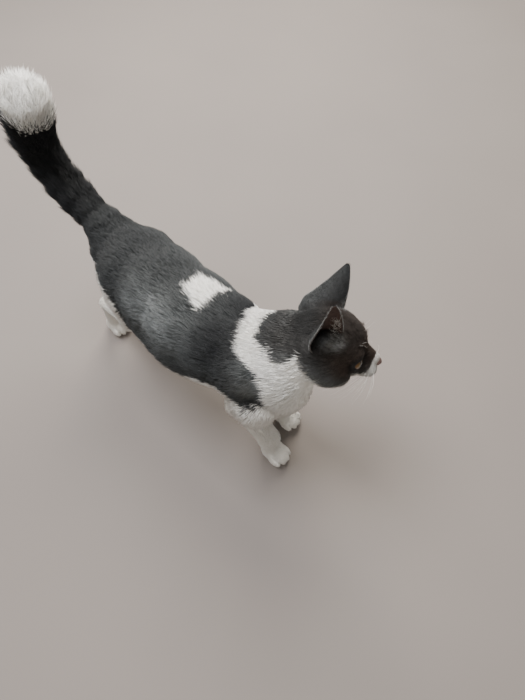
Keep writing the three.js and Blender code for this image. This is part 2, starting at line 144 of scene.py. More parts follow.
@dataclass(frozen=True)
class Lump:
    """An egg-shaped lump of flesh, in millimetres of the body's own frame."""

    centre: tuple[float, float, float]
    radii: tuple[float, float, float]
    blend: float
    coat_depth: float
    lie: tuple[float, float, float]
    turn: np.ndarray = field(default_factory=lambda: np.eye(3))

    def distance(self, points: np.ndarray) -> tuple[np.ndarray, np.ndarray]:
        """Return each point's distance to the lump's outer surface, and its coat depth.

        Args:
            points: One row of x, y, z for each point.

        Returns:
            The distances and the coat depths, in millimetres.
        """
        local = (points - np.array(self.centre)) @ self.turn / np.array(self.radii)
        inner = np.sqrt(np.einsum("ij,ij->i", local, local))
        local /= np.array(self.radii)
        slope = np.sqrt(np.einsum("ij,ij->i", local, local)) + 1e-9
        return inner * (inner - 1) / slope, np.full(len(points), self.coat_depth)

    def lie_of_hair(self) -> np.ndarray:
        """Return the way the hair lies here, from root to tip."""
        return unit(np.array(self.lie, float))


@dataclass
class Flesh:
    """The cat's flesh: bars and lumps, each blended into those before it."""

    groups: dict[Zone, list[Bar | Lump]] = field(default_factory=dict)

    def blended(self, points: np.ndarray) -> Iterator[tuple[Zone, Bar | Lump, *tuple[np.ndarray, ...]]]:
        """Blend the pieces into each other one by one.

        Args:
            points: One row of x, y, z for each point, in millimetres.

        Yields:
            After each piece: its zone, the piece, its share, and the distances and coat depths so far.
        """
        distance, depth = np.full(len(points), FAR), np.zeros(len(points))
        for zone, group in self.groups.items():
            for piece in group:
                new, coat = piece.distance(points)
                share = np.clip(0.5 + 0.5 * (distance - new) / piece.blend, 0.0, 1.0)
                distance = distance * (1 - share) + new * share - piece.blend * share * (1 - share)
                depth = depth * (1 - share) + coat * share
                yield zone, piece, share, distance, depth

    def under_coat(self, points: np.ndarray) -> np.ndarray:
        """Measure how far points are outside the skin, which lies below the tips by the coat's depth.

        Args:
            points: One row of x, y, z for each point, in millimetres.

        Returns:
            The distances, below zero inside.
        """
        for *_, distance, depth in self.blended(points):
            pass
        return distance + depth

    def coat_at(self, points: np.ndarray) -> tuple[np.ndarray, np.ndarray, np.ndarray]:
        """Read how the coat grows at points on the skin.

        Args:
            points: One row of x, y, z for each point, in millimetres.

        Returns:
            The coat's depth, the lie of its hair, and the number of the zone, for each point.
        """
        lie, zone = np.zeros((len(points), 3)), np.zeros(len(points), int)
        for name, piece, share, _, depth in self.blended(points):
            lie = lie * (1 - share)[:, None] + piece.lie_of_hair() * share[:, None]
            zone = np.where(share > 0.5, name.value, zone)
        return depth, lie, zone

    def slope(self, points: np.ndarray) -> np.ndarray:
        """Read which way the skin faces.

        Args:
            points: One row of x, y, z for each point, in millimetres.

        Returns:
            The unit vector out of the skin at each point.
        """
        steps = SLOPE_STEP * np.eye(3)
        rises = [self.under_coat(points + step) - self.under_coat(points - step) for step in steps]
        return unit(np.stack(rises, axis=1))


@dataclass(frozen=True)
class HeadPose:
    """Where the head is, and how its own frame (x to the nose, z up) is turned."""

    centre: tuple[float, float, float] = (194.5, 59.5, 250.0)
    yaw: float = 25.0
    roll: float = -16.0
    scale: float = 1.08

    def turn(self) -> np.ndarray:
        """Return the head's turn as a matrix."""
        return turn_about("z", self.yaw) @ turn_about("x", self.roll)

    def point(self, x: float, y: float, z: float) -> np.ndarray:
        """Return a point of the head in the body's frame."""
        return np.array(self.centre) + self.turn() @ (np.array([x, y, z]) * self.scale)

    def way(self, x: float, y: float, z: float) -> np.ndarray:
        """Return a direction of the head in the body's frame."""
        return self.turn() @ np.array([x, y, z], float)

    def local(self, points: np.ndarray) -> np.ndarray:
        """Return points of the body's frame in the head's own frame."""
        return (points - np.array(self.centre)) @ self.turn() / self.scale

    def mirrored(self, points: np.ndarray) -> np.ndarray:
        """Return points in the head's frame, with those of its right half laid on the left."""
        local = self.local(points)
        return local * [1, 0, 1] + np.abs(local) * [0, 1, 0]


@dataclass
class Body:
    """The sizes of the cat and the flesh that they make. The same sizes shape the solids."""

    head: HeadPose = field(default_factory=HeadPose)
    # x, y and z of the middle, half height and half width of the trunk
    trunk: tuple[tuple[float, ...], ...] = (
        (-156, 20, 194, 48, 48), (-120, 18, 191, 61, 62), (-66, 13, 185, 67, 65),
        (0, 10, 180, 70, 67), (58, 9, 181, 69, 64), (104, 10, 187, 66, 57), (140, 13, 194, 58, 48),
    )
    # x, y, z and radius along the tail
    tail: tuple[tuple[float, ...], ...] = (
        (-162, 22, 208, 36), (-184, 22, 225, 32), (-205, 21, 239, 27), (-228, 21, 251, 28),
        (-250, 21, 264, 29), (-269, 21, 281, 29), (-282, 21, 302, 29), (-287, 20, 325, 31),
        (-284, 20, 348, 32), (-277, 20, 368, 33), (-271, 20, 384, 32.5),
    )
    hip: tuple[float, float] = (-121, 14)
    knee: tuple[float, float, float] = (-108, 12, 128)
    shoulder: tuple[float, float] = (112, 8)
    elbow: tuple[float, float, float] = (116, 9, 120)
    fore_paws: dict[int, Spot] = field(default_factory=lambda: {-1: (176, -22), 1: (152, 36)})
    hind_paws: dict[int, Spot] = field(default_factory=lambda: {-1: (-196, -22), 1: (-208, 54)})
    hock_height: float = 76
    wrist_height: float = 50
    eye_radius: float = 10.4
    eye: tuple[float, float, float] = (22.5, 18.5, 3.0)
    # in the head's frame, for each side: the turn of the ear's opening from straight ahead, its foot,
    # its tip, and how much narrower its foot grows where it enters the skull
    ear_facing: dict[int, float] = field(default_factory=lambda: {-1: 48, 1: 70})
    ear_foot: dict[int, Spot] = field(default_factory=lambda: {-1: (-11, -32, 27), 1: (-23, 30, 27)})
    ear_tip: dict[int, Spot] = field(default_factory=lambda: {-1: (-9, -37, 85), 1: (-5, 45, 81)})
    ear_tuck: dict[int, float] = field(default_factory=lambda: {-1: 0.62, 1: 0.0})

    def ear(self, side: int) -> "Ear":
        """Return the ear of one side."""
        foot, tip = self.ear_foot[side], self.ear_tip[side]
        return Ear(side, self.ear_facing[side], self.head, foot, tip, self.ear_tuck[side])

    def eye_centre(self, side: int) -> np.ndarray:
        """Return the middle of an eyeball."""
        return self.head.point(self.eye[0], side * self.eye[1], self.eye[2])

    def eye_size(self) -> float:
        """Return the radius of an eyeball."""
        return self.eye_radius * self.head.scale

    def gaze(self, side: int) -> np.ndarray:
        """Return the way an eye looks."""
        return unit(self.head.way(0.93, side * 0.4, 0.06))

    def trunk_flesh(self) -> list[Bar | Lump]:
        """Return the trunk with its haunches, flanks and shoulders."""
        back, down = (-1.0, 0.0, -0.05), (-0.45, 0.0, -0.9)
        pieces: list[Bar | Lump] = []
        for near, far in zip(self.trunk[:-1], self.trunk[1:]):
            squeeze = (near[3] + far[3]) / (near[4] + far[4])
            pieces.append(Bar(near[:3], far[:3], (near[3], far[3]), 10, (7, 7), squeeze, back))
        soft = MUSCLE_BLEND
        chest = Lump((154, 13, 167), (42, 43, 50), soft, 8.5, (-0.15, 0, -1))
        belly = Lump((-4, 7, 150), (104, 71, 47), soft, 8, (-1, 0, -0.35))
        pieces += [chest, belly]
        (hip_x, hip_y), (blade_x, blade_y) = self.hip, self.shoulder
        for side in SIDES.values():
            knee = self.beside(self.knee, side * 36)
            elbow = self.beside(self.elbow, side * 36, 2)
            arm = (blade_x + 30, blade_y + side * 34, 156)
            haunch = Lump((hip_x, hip_y + side * 33, 168), (44, 25, 52), soft, 7, down, turn_about("y", -20))
            thigh = Bar((hip_x + 8, hip_y + side * 32, 162), knee, (33, 24), soft, (7, 6), 1.0, down)
            flank = Lump((-58, 10 + side * 42, 142), (62, 20, 36), soft, 7.5, (-0.8, 0, -0.5))
            blade_at, blade_turn = (blade_x, blade_y + side * 36, 192), turn_about("y", 18)
            blade = Lump(blade_at, (30, 19, 54), soft, 7, (-0.6, 0, -0.8), blade_turn)
            upper_arm = Bar(arm, elbow, (33, 23), soft, (7, 5.5), 1.0, (-0.35, 0, -0.95))
            pieces += [haunch, thigh, flank, blade, upper_arm]
        return pieces

    @staticmethod
    def beside(joint: Spot, across: float, up: float = 0) -> Spot:
        """Return a joint of one leg, from the middle between the pair."""
        return joint[0], joint[1] + across, joint[2] + up

    def tail_flesh(self) -> list[Bar | Lump]:
        """Return the tail, whose coat grows deeper to the tip."""
        count = len(self.tail) - 1
        coats = [7.5 + 7.5 * min(1.0, i / (count * 0.5)) for i in range(count + 1)]
        return [
            Bar(near[:3], far[:3], (near[3], far[3]), (20, 5)[i] if i < 2 else 3, (coats[i], coats[i + 1]))
            for i, (near, far) in enumerate(zip(self.tail[:-1], self.tail[1:]))
        ]

    def toes(self, x: float, y: float, spread: float) -> list[Bar | Lump]:
        """Return the four toes of a paw.

        Args:
            x: The middle of the paw, forwards.
            y: The middle of the paw, to the left.
            spread: The distance from toe to toe.

        Returns:
            One lump for each toe.
        """
        return [
            Lump((x + 15 - abs(place) * 4, y + place * spread, 9.3), (12, 5.6, 10), 2.5, 1.2, (1, 0, -0.3))
            for place in (-1.5, -0.5, 0.5, 1.5)
        ]

    def leg_flesh(self) -> tuple[list[Bar | Lump], list[Bar | Lump]]:
        """Return the lower legs and paws, the fore pair and the hind pair."""
        fore: list[Bar | Lump] = []
        hind: list[Bar | Lump] = []
        sole = (0.9, 0, -0.4)
        for side in SIDES.values():
            x, y = self.fore_paws[side]
            elbow = self.beside(self.elbow, side * 34)
            wrist, ankle = (x - 14, y, self.wrist_height), (x - 8, y, 20)
            fore.append(Bar(elbow, wrist, (22, 17), LIMB_BLEND, (5, 3.5)))
            fore.append(Bar(wrist, ankle, (16.5, 15), PAW_BLEND, (4, 2.5)))
            fore.append(Lump((x, y, 13), (25, 17, 14.5), PAW_BLEND, 2, sole))
            fore.extend(self.toes(x, y, 8.6))
            x, y = self.hind_paws[side]
            knee = self.beside(self.knee, side * 36, -2)
            hock, ankle = (x - 1, y, self.hock_height), (x - 3, y, 22)
            hind.append(Bar(knee, hock, (24, 12.5), LIMB_BLEND, (5.5, 3.5)))
            hind.append(Bar(hock, ankle, (12.5, 13.5), PAW_BLEND, (4, 2.5)))
            hind.append(Lump((x, y, 13), (24, 16.5, 14.5), PAW_BLEND, 2, sole))
            hind.extend(self.toes(x, y, 8))
        return fore, hind

    def head_flesh(self) -> list[Bar | Lump]:
        """Return the head without its ears: skull, cheeks, muzzle, nose bridge, brows and chin."""
        pose = self.head

        def lump(centre: Spot, radii: Spot, blend: float, coat: float, lie: Spot) -> Lump:
            """Return a lump of the head, given in the head's own frame."""
            scaled = tuple(radius * pose.scale for radius in radii)
            return Lump(tuple(pose.point(*centre)), scaled, blend, coat, tuple(pose.way(*lie)), pose.turn())

        def bar(ends: tuple[Spot, Spot], radii: Spot, blend: float, coat: Spot, lie: Spot) -> Bar:
            """Make a bar of the head from places in the head's own frame.

            Args:
                ends: Where it starts and ends.
                radii: Its radius at each end.
                blend: How far it runs into the pieces before it.
                coat: The coat's depth at each end.
                lie: The way its hair lies.

            Returns:
                The bar in the body's frame.
            """
            start, end = (tuple(pose.point(*place)) for place in ends)
            scaled = (radii[0] * pose.scale, radii[1] * pose.scale)
            return Bar(start, end, scaled, blend, coat, 1.0, tuple(pose.way(*lie)))

        skull = lump(SKULL[0], SKULL[1], 10, 4, (-1, 0, 0.1))
        cheeks = [
            lump((-2, side * 24, -9), (29, 21, 26), LIMB_BLEND, 5, (-0.8, side * 0.35, -0.6))
            for side in SIDES.values()
        ]
        jaw = lump((14, 0, -20), (26, 20, 14), 8, 4, (-1, 0, -0.25))
        muzzle = lump((33, 0, -12), (20, 17, 13), 8, 1.5, (-0.9, 0, -0.2))
        bridge = bar(((14, 0, 14), (46, 0, -2)), (15, 6.5), 8, (3, 1.0), (-0.9, 0, 0.5))
        pieces: list[Bar | Lump] = [skull, *cheeks, jaw, muzzle, bridge]
        for side in SIDES.values():
            ear_root = ((-14, side * 27, 22), (-11, side * 35, 38))
            pad = lump((40.5, side * 8.2, -13.5), (11.5, 9.6, 9), 4, 1.3, (-0.6, side * 0.6, -0.4))
            brow = lump((21, side * 17, 12), (13, 12, 10), 11, 2.5, (-0.8, side * 0.3, 0.55))
            socket = lump((20, side * 18, 1), (11, 11, 11), 5, 1.2, (-0.8, side * 0.6, -0.1))
            pieces += [pad, brow, socket, bar(ear_root, (16, 8), 10, (5, 3), (-0.6, side * 0.3, 0.8))]
        chin = lump((37, 0, -24.5), (11, 9, 7), 4, 1.3, (-0.8, 0, -0.6))
        return [*pieces, chin]

    def flesh(self) -> Flesh:
        """Return the flesh of the whole cat, by zone; the trunk counts as loin until it is divided."""
        neck = Bar(*NECK_ENDS, (57, 47), MUSCLE_BLEND, (8, 7), 1.0, (-0.95, -0.4, -0.5))
        fore, hind = self.leg_flesh()
        return Flesh({
            Zone.LOIN: self.trunk_flesh(), Zone.NECK: [neck], Zone.TAIL: self.tail_flesh(),
            Zone.FORELEGS: fore, Zone.HINDLEGS: hind, Zone.HEAD: self.head_flesh(),
        })


# the left half of the mouth's line, in the head's frame, from under the nose to the corner
MOUTH = np.array([(54, 0, -11), (52, 0, -17.5), (49, 4, -20), (43, 9.5, -21.5), (35, 14.5, -20)], float)


@dataclass(frozen=True)
class Placement:
    """Where the body's own frame, in millimetres, stands in the scene, in metres."""

    shift: tuple[float, float, float]

    @classmethod
    def on_eyes(cls, body: Body) -> "Placement":
        """Lay the body on the CAD part by its eyes.

        Args:
            body: The cat's sizes.

        Returns:
            The placement that puts its eyes on the CAD eyes.
        """
        shifts = []
        for side_name, side in SIDES.items():
            low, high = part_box(f"eye_{side_name}")
            shifts.append(np.array((low + high) / 2) - body.eye_centre(side) / 1000)
        return cls(tuple(np.mean(shifts, axis=0)))

    def metres(self, points: np.ndarray) -> np.ndarray:
        """Return points of the body's frame as places in the scene."""
        return np.asarray(points) / 1000 + np.array(self.shift)


@dataclass(frozen=True)
class Ripple:
    """A smooth random swell over space, made of many waves."""

    seed: int
    wavelength: float
    waves: int = 14

    def at(self, points: np.ndarray) -> np.ndarray:
        """Read the ripple.

        Args:
            points: One row of x, y, z for each point, in millimetres.

        Returns:
            The swell at each point, mostly between -1 and 1.
        """
        rng = np.random.default_rng(self.seed)
        ways = unit(rng.normal(size=(self.waves, 3)))
        pitch = 2 * math.pi / (self.wavelength * rng.uniform(0.6, 1.6, self.waves))
        phases = rng.uniform(0, 2 * math.pi, self.waves)
        return np.sin(points @ (ways * pitch[:, None]).T + phases).sum(axis=1) / math.sqrt(self.waves)


@dataclass
class Surface:
    """A mesh of triangles in the body's frame, with named values at its points."""

    points: np.ndarray
    triangles: np.ndarray
    values: dict[str, np.ndarray] = field(default_factory=dict)
    uv: np.ndarray | None = None

    @classmethod
    def joined(cls, parts: Sequence["Surface"]) -> "Surface":
        """Join surfaces into one.

        Args:
            parts: The surfaces.

        Returns:
            One surface, with the values that they share.
        """
        starts = np.cumsum([0] + [len(part.points) for part in parts[:-1]])
        names = set.intersection(*(set(part.values) for part in parts))
        return cls(
            np.concatenate([part.points for part in parts]),
            np.concatenate([part.triangles + start for part, start in zip(parts, starts)]),
            {name: np.concatenate([part.values[name] for part in parts]) for name in sorted(names)},
        )

    def face_normals(self) -> np.ndarray:
        """Return each triangle's normal, as long as twice its area."""
        a, b, c = (self.points[self.triangles[:, k]] for k in range(3))
        return np.cross(b - a, c - a)

    def normals(self) -> np.ndarray:
        """Return the unit normal at each point."""
        total = np.zeros_like(self.points)
        faces = self.face_normals()
        for k in range(3):
            np.add.at(total, self.triangles[:, k], faces)
        return unit(total)

    def turned_out(self, away: np.ndarray) -> "Surface":
        """Turn all the faces the other way where they look inwards.

        Args:
            away: The way out, one for all triangles or one row for each.

        Returns:
            This surface.
        """
        if (self.face_normals() * away).sum() < 0:
            self.triangles = self.triangles[:, ::-1]
        return self

    def smoothed(self, value: np.ndarray, rounds: int) -> np.ndarray:
        """Return a value at the points after it is evened out between neighbours.

        Args:
            value: One row for each point.
            rounds: How many times each point takes the mean of its neighbours.

        Returns:
            The evened rows.
        """
        ends = np.concatenate([self.triangles[:, pair] for pair in ([0, 1], [1, 2], [2, 0])])
        count = np.bincount(ends.ravel(), minlength=len(self.points))[:, None] + 1.0
        for _ in range(rounds):
            total = value.copy()
            np.add.at(total, ends[:, 0], value[ends[:, 1]])
            np.add.at(total, ends[:, 1], value[ends[:, 0]])
            value = total / count
        return value

    def refined(self, longest: np.ndarray) -> "Surface":
        """Return the surface with its long edges cut in two.

        Args:
            longest: The longest edge wanted near each point, in millimetres.

        Returns:
            The finer surface, without its values.
        """
        ends = np.stack([self.triangles, np.roll(self.triangles, -1, axis=1)], axis=-1)
        edges, index = np.unique(np.sort(ends, axis=-1).reshape(-1, 2), axis=0, return_inverse=True)
        index = index.reshape(-1, 3)
        length = np.linalg.norm(self.points[edges[:, 0]] - self.points[edges[:, 1]], axis=1)
        cut = length > longest[edges].mean(axis=1)
        middle = np.full(len(edges), -1)
        middle[cut] = len(self.points) + np.arange(cut.sum())
        points = np.concatenate([self.points, self.points[edges[cut]].mean(axis=1)])
        corners, mids = self.triangles, middle[index]
        pieces = [corners[(mids < 0).all(axis=1)]]
        for turn in range(3):
            a, b, c = np.roll(corners, -turn, axis=1).T
            ab, bc, ca = np.roll(mids, -turn, axis=1).T
            one = (ab >= 0) & (bc < 0) & (ca < 0)
            pieces += [np.stack([a, ab, c], 1)[one], np.stack([ab, b, c], 1)[one]]
            two = (ab >= 0) & (bc >= 0) & (ca < 0)
            pieces += [np.stack(corner, 1)[two] for corner in ((ab, b, bc), (a, ab, bc), (a, bc, c))]
        (a, b, c), (ab, bc, ca) = corners.T, mids.T
        three = (mids >= 0).all(axis=1)
        for corner in ((a, ab, ca), (ab, b, bc), (ca, bc, c), (ab, bc, ca)):
            pieces.append(np.stack(corner, 1)[three])
        return Surface(points, np.concatenate(pieces))

    def build(self, name: str, place: Placement, finish: bpy.types.Material) -> bpy.types.Object:
        """Make the Blender object.

        Args:
            name: The object's name.
            place: Where the body stands in the scene.
            finish: Its material.

        Returns:
            The new object, linked into the scene.
        """
        mesh = bpy.data.meshes.new(name)
        mesh.vertices.add(len(self.points))
        mesh.vertices.foreach_set("co", place.metres(self.points).astype(np.float32).ravel())
        count = len(self.triangles)
        mesh.loops.add(3 * count)
        mesh.loops.foreach_set("vertex_index", self.triangles.astype(np.int32).ravel())
        mesh.polygons.add(count)
        mesh.polygons.foreach_set("loop_start", np.arange(0, 3 * count, 3, dtype=np.int32))
        mesh.update(calc_edges=True)
        mesh.polygons.foreach_set("use_smooth", np.full(count, True))
        for value_name, value in self.values.items():
            layer = mesh.attributes.new(value_name, "FLOAT", "POINT")
            layer.data.foreach_set("value", value.astype(np.float32))
        if self.uv is not None:
            layer = mesh.uv_layers.new(name="OFBake")
            layer.uv.foreach_set("vector", self.uv.astype(np.float32).ravel())
        mesh.update()
        mesh.materials.append(finish)
        return linked(name, mesh)


def linked(name: str, data: bpy.types.ID) -> bpy.types.Object:
    """Make an object and link it into the scene.

    Args:
        name: Its name.
        data: The data that it holds.

    Returns:
        The object.
    """
    made = bpy.data.objects.new(name, data)
    bpy.context.scene.collection.objects.link(made)
    return made


def sheet_triangles(rows: int, columns: int, wrap: bool = False) -> np.ndarray:
    """Return the triangles of a grid of points laid row after row.

    Args:
        rows: The number of rows of points.
        columns: The number of points in each row.
        wrap: Whether each row closes on itself.

    Returns:
        One row of three point numbers for each triangle.
    """
    row, column = np.meshgrid(np.arange(rows - 1), np.arange(columns if wrap else columns - 1), indexing="ij")
    a = (row * columns + column).ravel()
    b = (row * columns + (column + 1) % columns).ravel()
    return np.concatenate([np.stack([a, b, b + columns], 1), np.stack([a, b + columns, a + columns], 1)])


def ball_angles(rings: int, around: int) -> tuple[np.ndarray, np.ndarray]:
    """Lay out a ball's points, ring after ring.

    Args:
        rings: How many rings it has.
        around: How many points are on a ring.

    Returns:
        The angle from the pole and the angle round it, for each point.
    """
    round_it = np.arange(around) * 2 * math.pi / around
    away, angle = np.meshgrid(np.linspace(0, math.pi, rings), round_it, indexing="ij")
    return away.ravel(), angle.ravel()


def in_eggs(points: np.ndarray, centre: Spot, radii: Spot) -> np.ndarray:
    """Return how far out each point lies in an egg shape: 0 in its middle and 1 on its face."""
    return np.linalg.norm((points - centre) / radii, axis=1)


@dataclass(frozen=True)
class Ear:
    """An ear: a thin shell rolled about its own height, open forwards and outwards, pointed above."""

    side: int
    facing: float
    pose: HeadPose
    foot: tuple[float, ...]
    tip: tuple[float, ...]
    tuck: float
    half_width: float = 23
    skin_inset: float = 0.9
    foot_thickness: float = 4.6
    thinning: float = 2.2
    # half the angle that the shell is rolled through at its foot, and how much it opens out to the tip
    roll: float = 84
    unroll: float = 44
    lean: float = 12
    rows: int = 34
    columns: int = 25

    def axes(self) -> tuple[np.ndarray, np.ndarray, np.ndarray, np.ndarray]:
        """Return the ear's foot, its height, the way it opens and the way across it."""
        foot = self.pose.point(*self.foot)
        height = self.pose.point(*self.tip) - foot
        facing = math.radians(self.facing)
        opening = self.pose.way(math.cos(facing), self.side * math.sin(facing), 0.1)
        upright = unit(height)
        opening = unit(opening - (opening @ upright) * upright)
        return foot, height, opening, np.cross(upright, opening)

    def points(self, rise: np.ndarray, share: np.ndarray, inner: bool) -> np.ndarray:
        """Return points of the ear's back or of its hollow.

        Args:
            rise: From below 0 in the skull to 1 at the tip.
            share: From 0 to 1 across the ear.
            inner: Whether the points lie in the hollow.

        Returns:
            One row of x, y, z for each point.
        """
        foot, height, opening, across = self.axes()
        up = np.clip(rise, 0, 1)
        tuck = 1 - self.tuck * np.clip((0.2 - rise) / 0.4, 0, 1)
        outer = self.pose.scale * (self.half_width * (1 - up) ** 0.8 + 1.6)
        half_width = (outer - 0.6 * self.skin_inset) * tuck
        roll = np.radians(self.roll - self.unroll * up)
        radius = half_width / np.sin(roll)
        lean = -self.side * self.lean * up * (1 - up)
        middle = foot + rise[:, None] * height + lean[:, None] * across
        middle += (radius * np.cos(roll))[:, None] * opening
        thick = (self.foot_thickness - self.thinning * up) * (0.35 + 0.65 * np.sin(math.pi * share))
        hollow = np.minimum(thick, radius * 0.55) - 0.4 * self.skin_inset
        start = radius - (hollow if inner else self.skin_inset * np.sin(math.pi * share) ** 0.5)
        turn = roll * (2 * share - 1)
        return middle - (start * np.cos(turn))[:, None] * opening + (start * np.sin(turn))[:, None] * across

    def surface(self) -> Surface:
        """Return the ear's shell, with how far each point is inside the hollow."""
        heights = np.linspace(-0.24, 0.985, self.rows)
        rise, share = np.meshgrid(heights, np.linspace(0, 1, self.columns), indexing="ij")
        back = self.points(rise.ravel(), share.ravel(), False)
        hollow = self.points(rise.ravel(), share.ravel(), True)
        count = len(back)
        back_faces = sheet_triangles(self.rows, self.columns)
        faces = [back_faces, back_faces[:, ::-1] + count]
        rim = [row * self.columns for row in range(self.rows)]
        rim += [(self.rows - 1) * self.columns + column for column in range(1, self.columns)]
        rim += [row * self.columns + self.columns - 1 for row in range(self.rows - 2, -1, -1)]
        for here, there in zip(rim[:-1], rim[1:]):
            faces.append(np.array([[here, here + count, there], [there, here + count, there + count]]))
        triangles = np.concatenate(faces)
        bare = np.repeat([0.0, 1.0], count)
        backwards = np.where(np.arange(len(triangles)) < len(back_faces), -1, 0)[:, None] * self.axes()[2]
        return Surface(np.concatenate([back, hollow]), triangles, {"bare": bare}).turned_out(backwards)


@dataclass
class Lids:
    """The lids of one eye: a ring of skin from the almond-shaped opening out to the face."""

    body: Body
    flesh: Flesh
    side: int
    half_width: float = 47
    upper: float = 27
    lower: float = 30
    tilt: float = 17
    reach: float = 84
    around: int = 96
    rings: int = 16
    roundness: float = 1.75
    thickness: float = 1.0
    blend: float = 1.2

    def axes(self) -> tuple[np.ndarray, np.ndarray, np.ndarray]:
        """Return the gaze, the way along the opening to its outer corner, and the way up across it."""
        gaze = self.body.gaze(self.side)
        outer = self.body.head.way(-0.4, self.side, math.tan(math.radians(self.tilt)))
        outer = unit(outer - (outer @ gaze) * gaze)
        upward = np.cross(gaze, outer) * self.side
        return gaze, outer, upward * np.sign(upward @ self.body.head.way(0, 0, 1))

    def opening(self, angle: np.ndarray) -> np.ndarray:
        """Give the shape of the opening between the lids.

        Args:
            angle: Angles round the gaze.

        Returns:
            How far from the gaze the rim lies at each, in degrees.
        """
        along, up = np.abs(np.cos(angle)), np.sin(angle)
        height, power = np.where(up > 0, self.upper, self.lower), self.roundness
        return ((along / self.half_width) ** power + (np.abs(up) / height) ** power) ** (-1 / power)

    def under(self, points: np.ndarray, margin: float) -> np.ndarray:
        """Return which points of the skin lie behind the lids.

        Args:
            points: One row of x, y, z for each point.
            margin: How far in from the ring's outer edge they must be, in degrees.

        Returns:
            A yes or no for each point.
        """
        out = points - self.body.eye_centre(self.side)
        reach = np.linalg.norm(out, axis=1)
        away = np.degrees(np.arccos(np.clip((out @ self.body.gaze(self.side)) / reach, -1, 1)))
        return (away < self.reach - margin) & (reach < self.body.eye_size() + 8)

    def surface(self) -> Surface:
        """Return the lids, with their bare dark rim marked."""
        gaze, outer, upward = self.axes()
        centre = self.body.eye_centre(self.side)
        ball = self.body.eye_size()
        round_it = np.arange(self.around) * 2 * math.pi / self.around
        step, angle = np.meshgrid(np.linspace(0, 1, self.rings), round_it, indexing="ij")
        step, angle = step.ravel(), angle.ravel()
        rim = self.opening(angle)
        away = np.radians(rim + (self.reach - rim) * step**1.5)
        round_way = np.cos(angle)[:, None] * outer + np.sin(angle)[:, None] * upward
        ways = np.cos(away)[:, None] * gaze + np.sin(away)[:, None] * round_way
        face = np.full(len(ways), ball)
        for _ in range(7):
            face -= 0.8 * self.flesh.under_coat(centre + face[:, None] * ways)
        lid = ball + np.clip(0.15 + 9 * step, 0, self.thickness)
        gap = np.clip(0.5 + 0.5 * (face - lid) / self.blend, 0, 1)
        height = lid * (1 - gap) + face * gap + self.blend * gap * (1 - gap)
        sink = np.clip((step - 0.72) / 0.28, 0, 1)
        height = height * (1 - sink) + (face - 0.5) * sink
        faces = sheet_triangles(self.rings, self.around, wrap=True)
        bare = {"bare": np.clip(1.6 - step * 14, 0, 1)}
        return Surface(centre + height[:, None] * ways, faces, bare).turned_out(gaze)


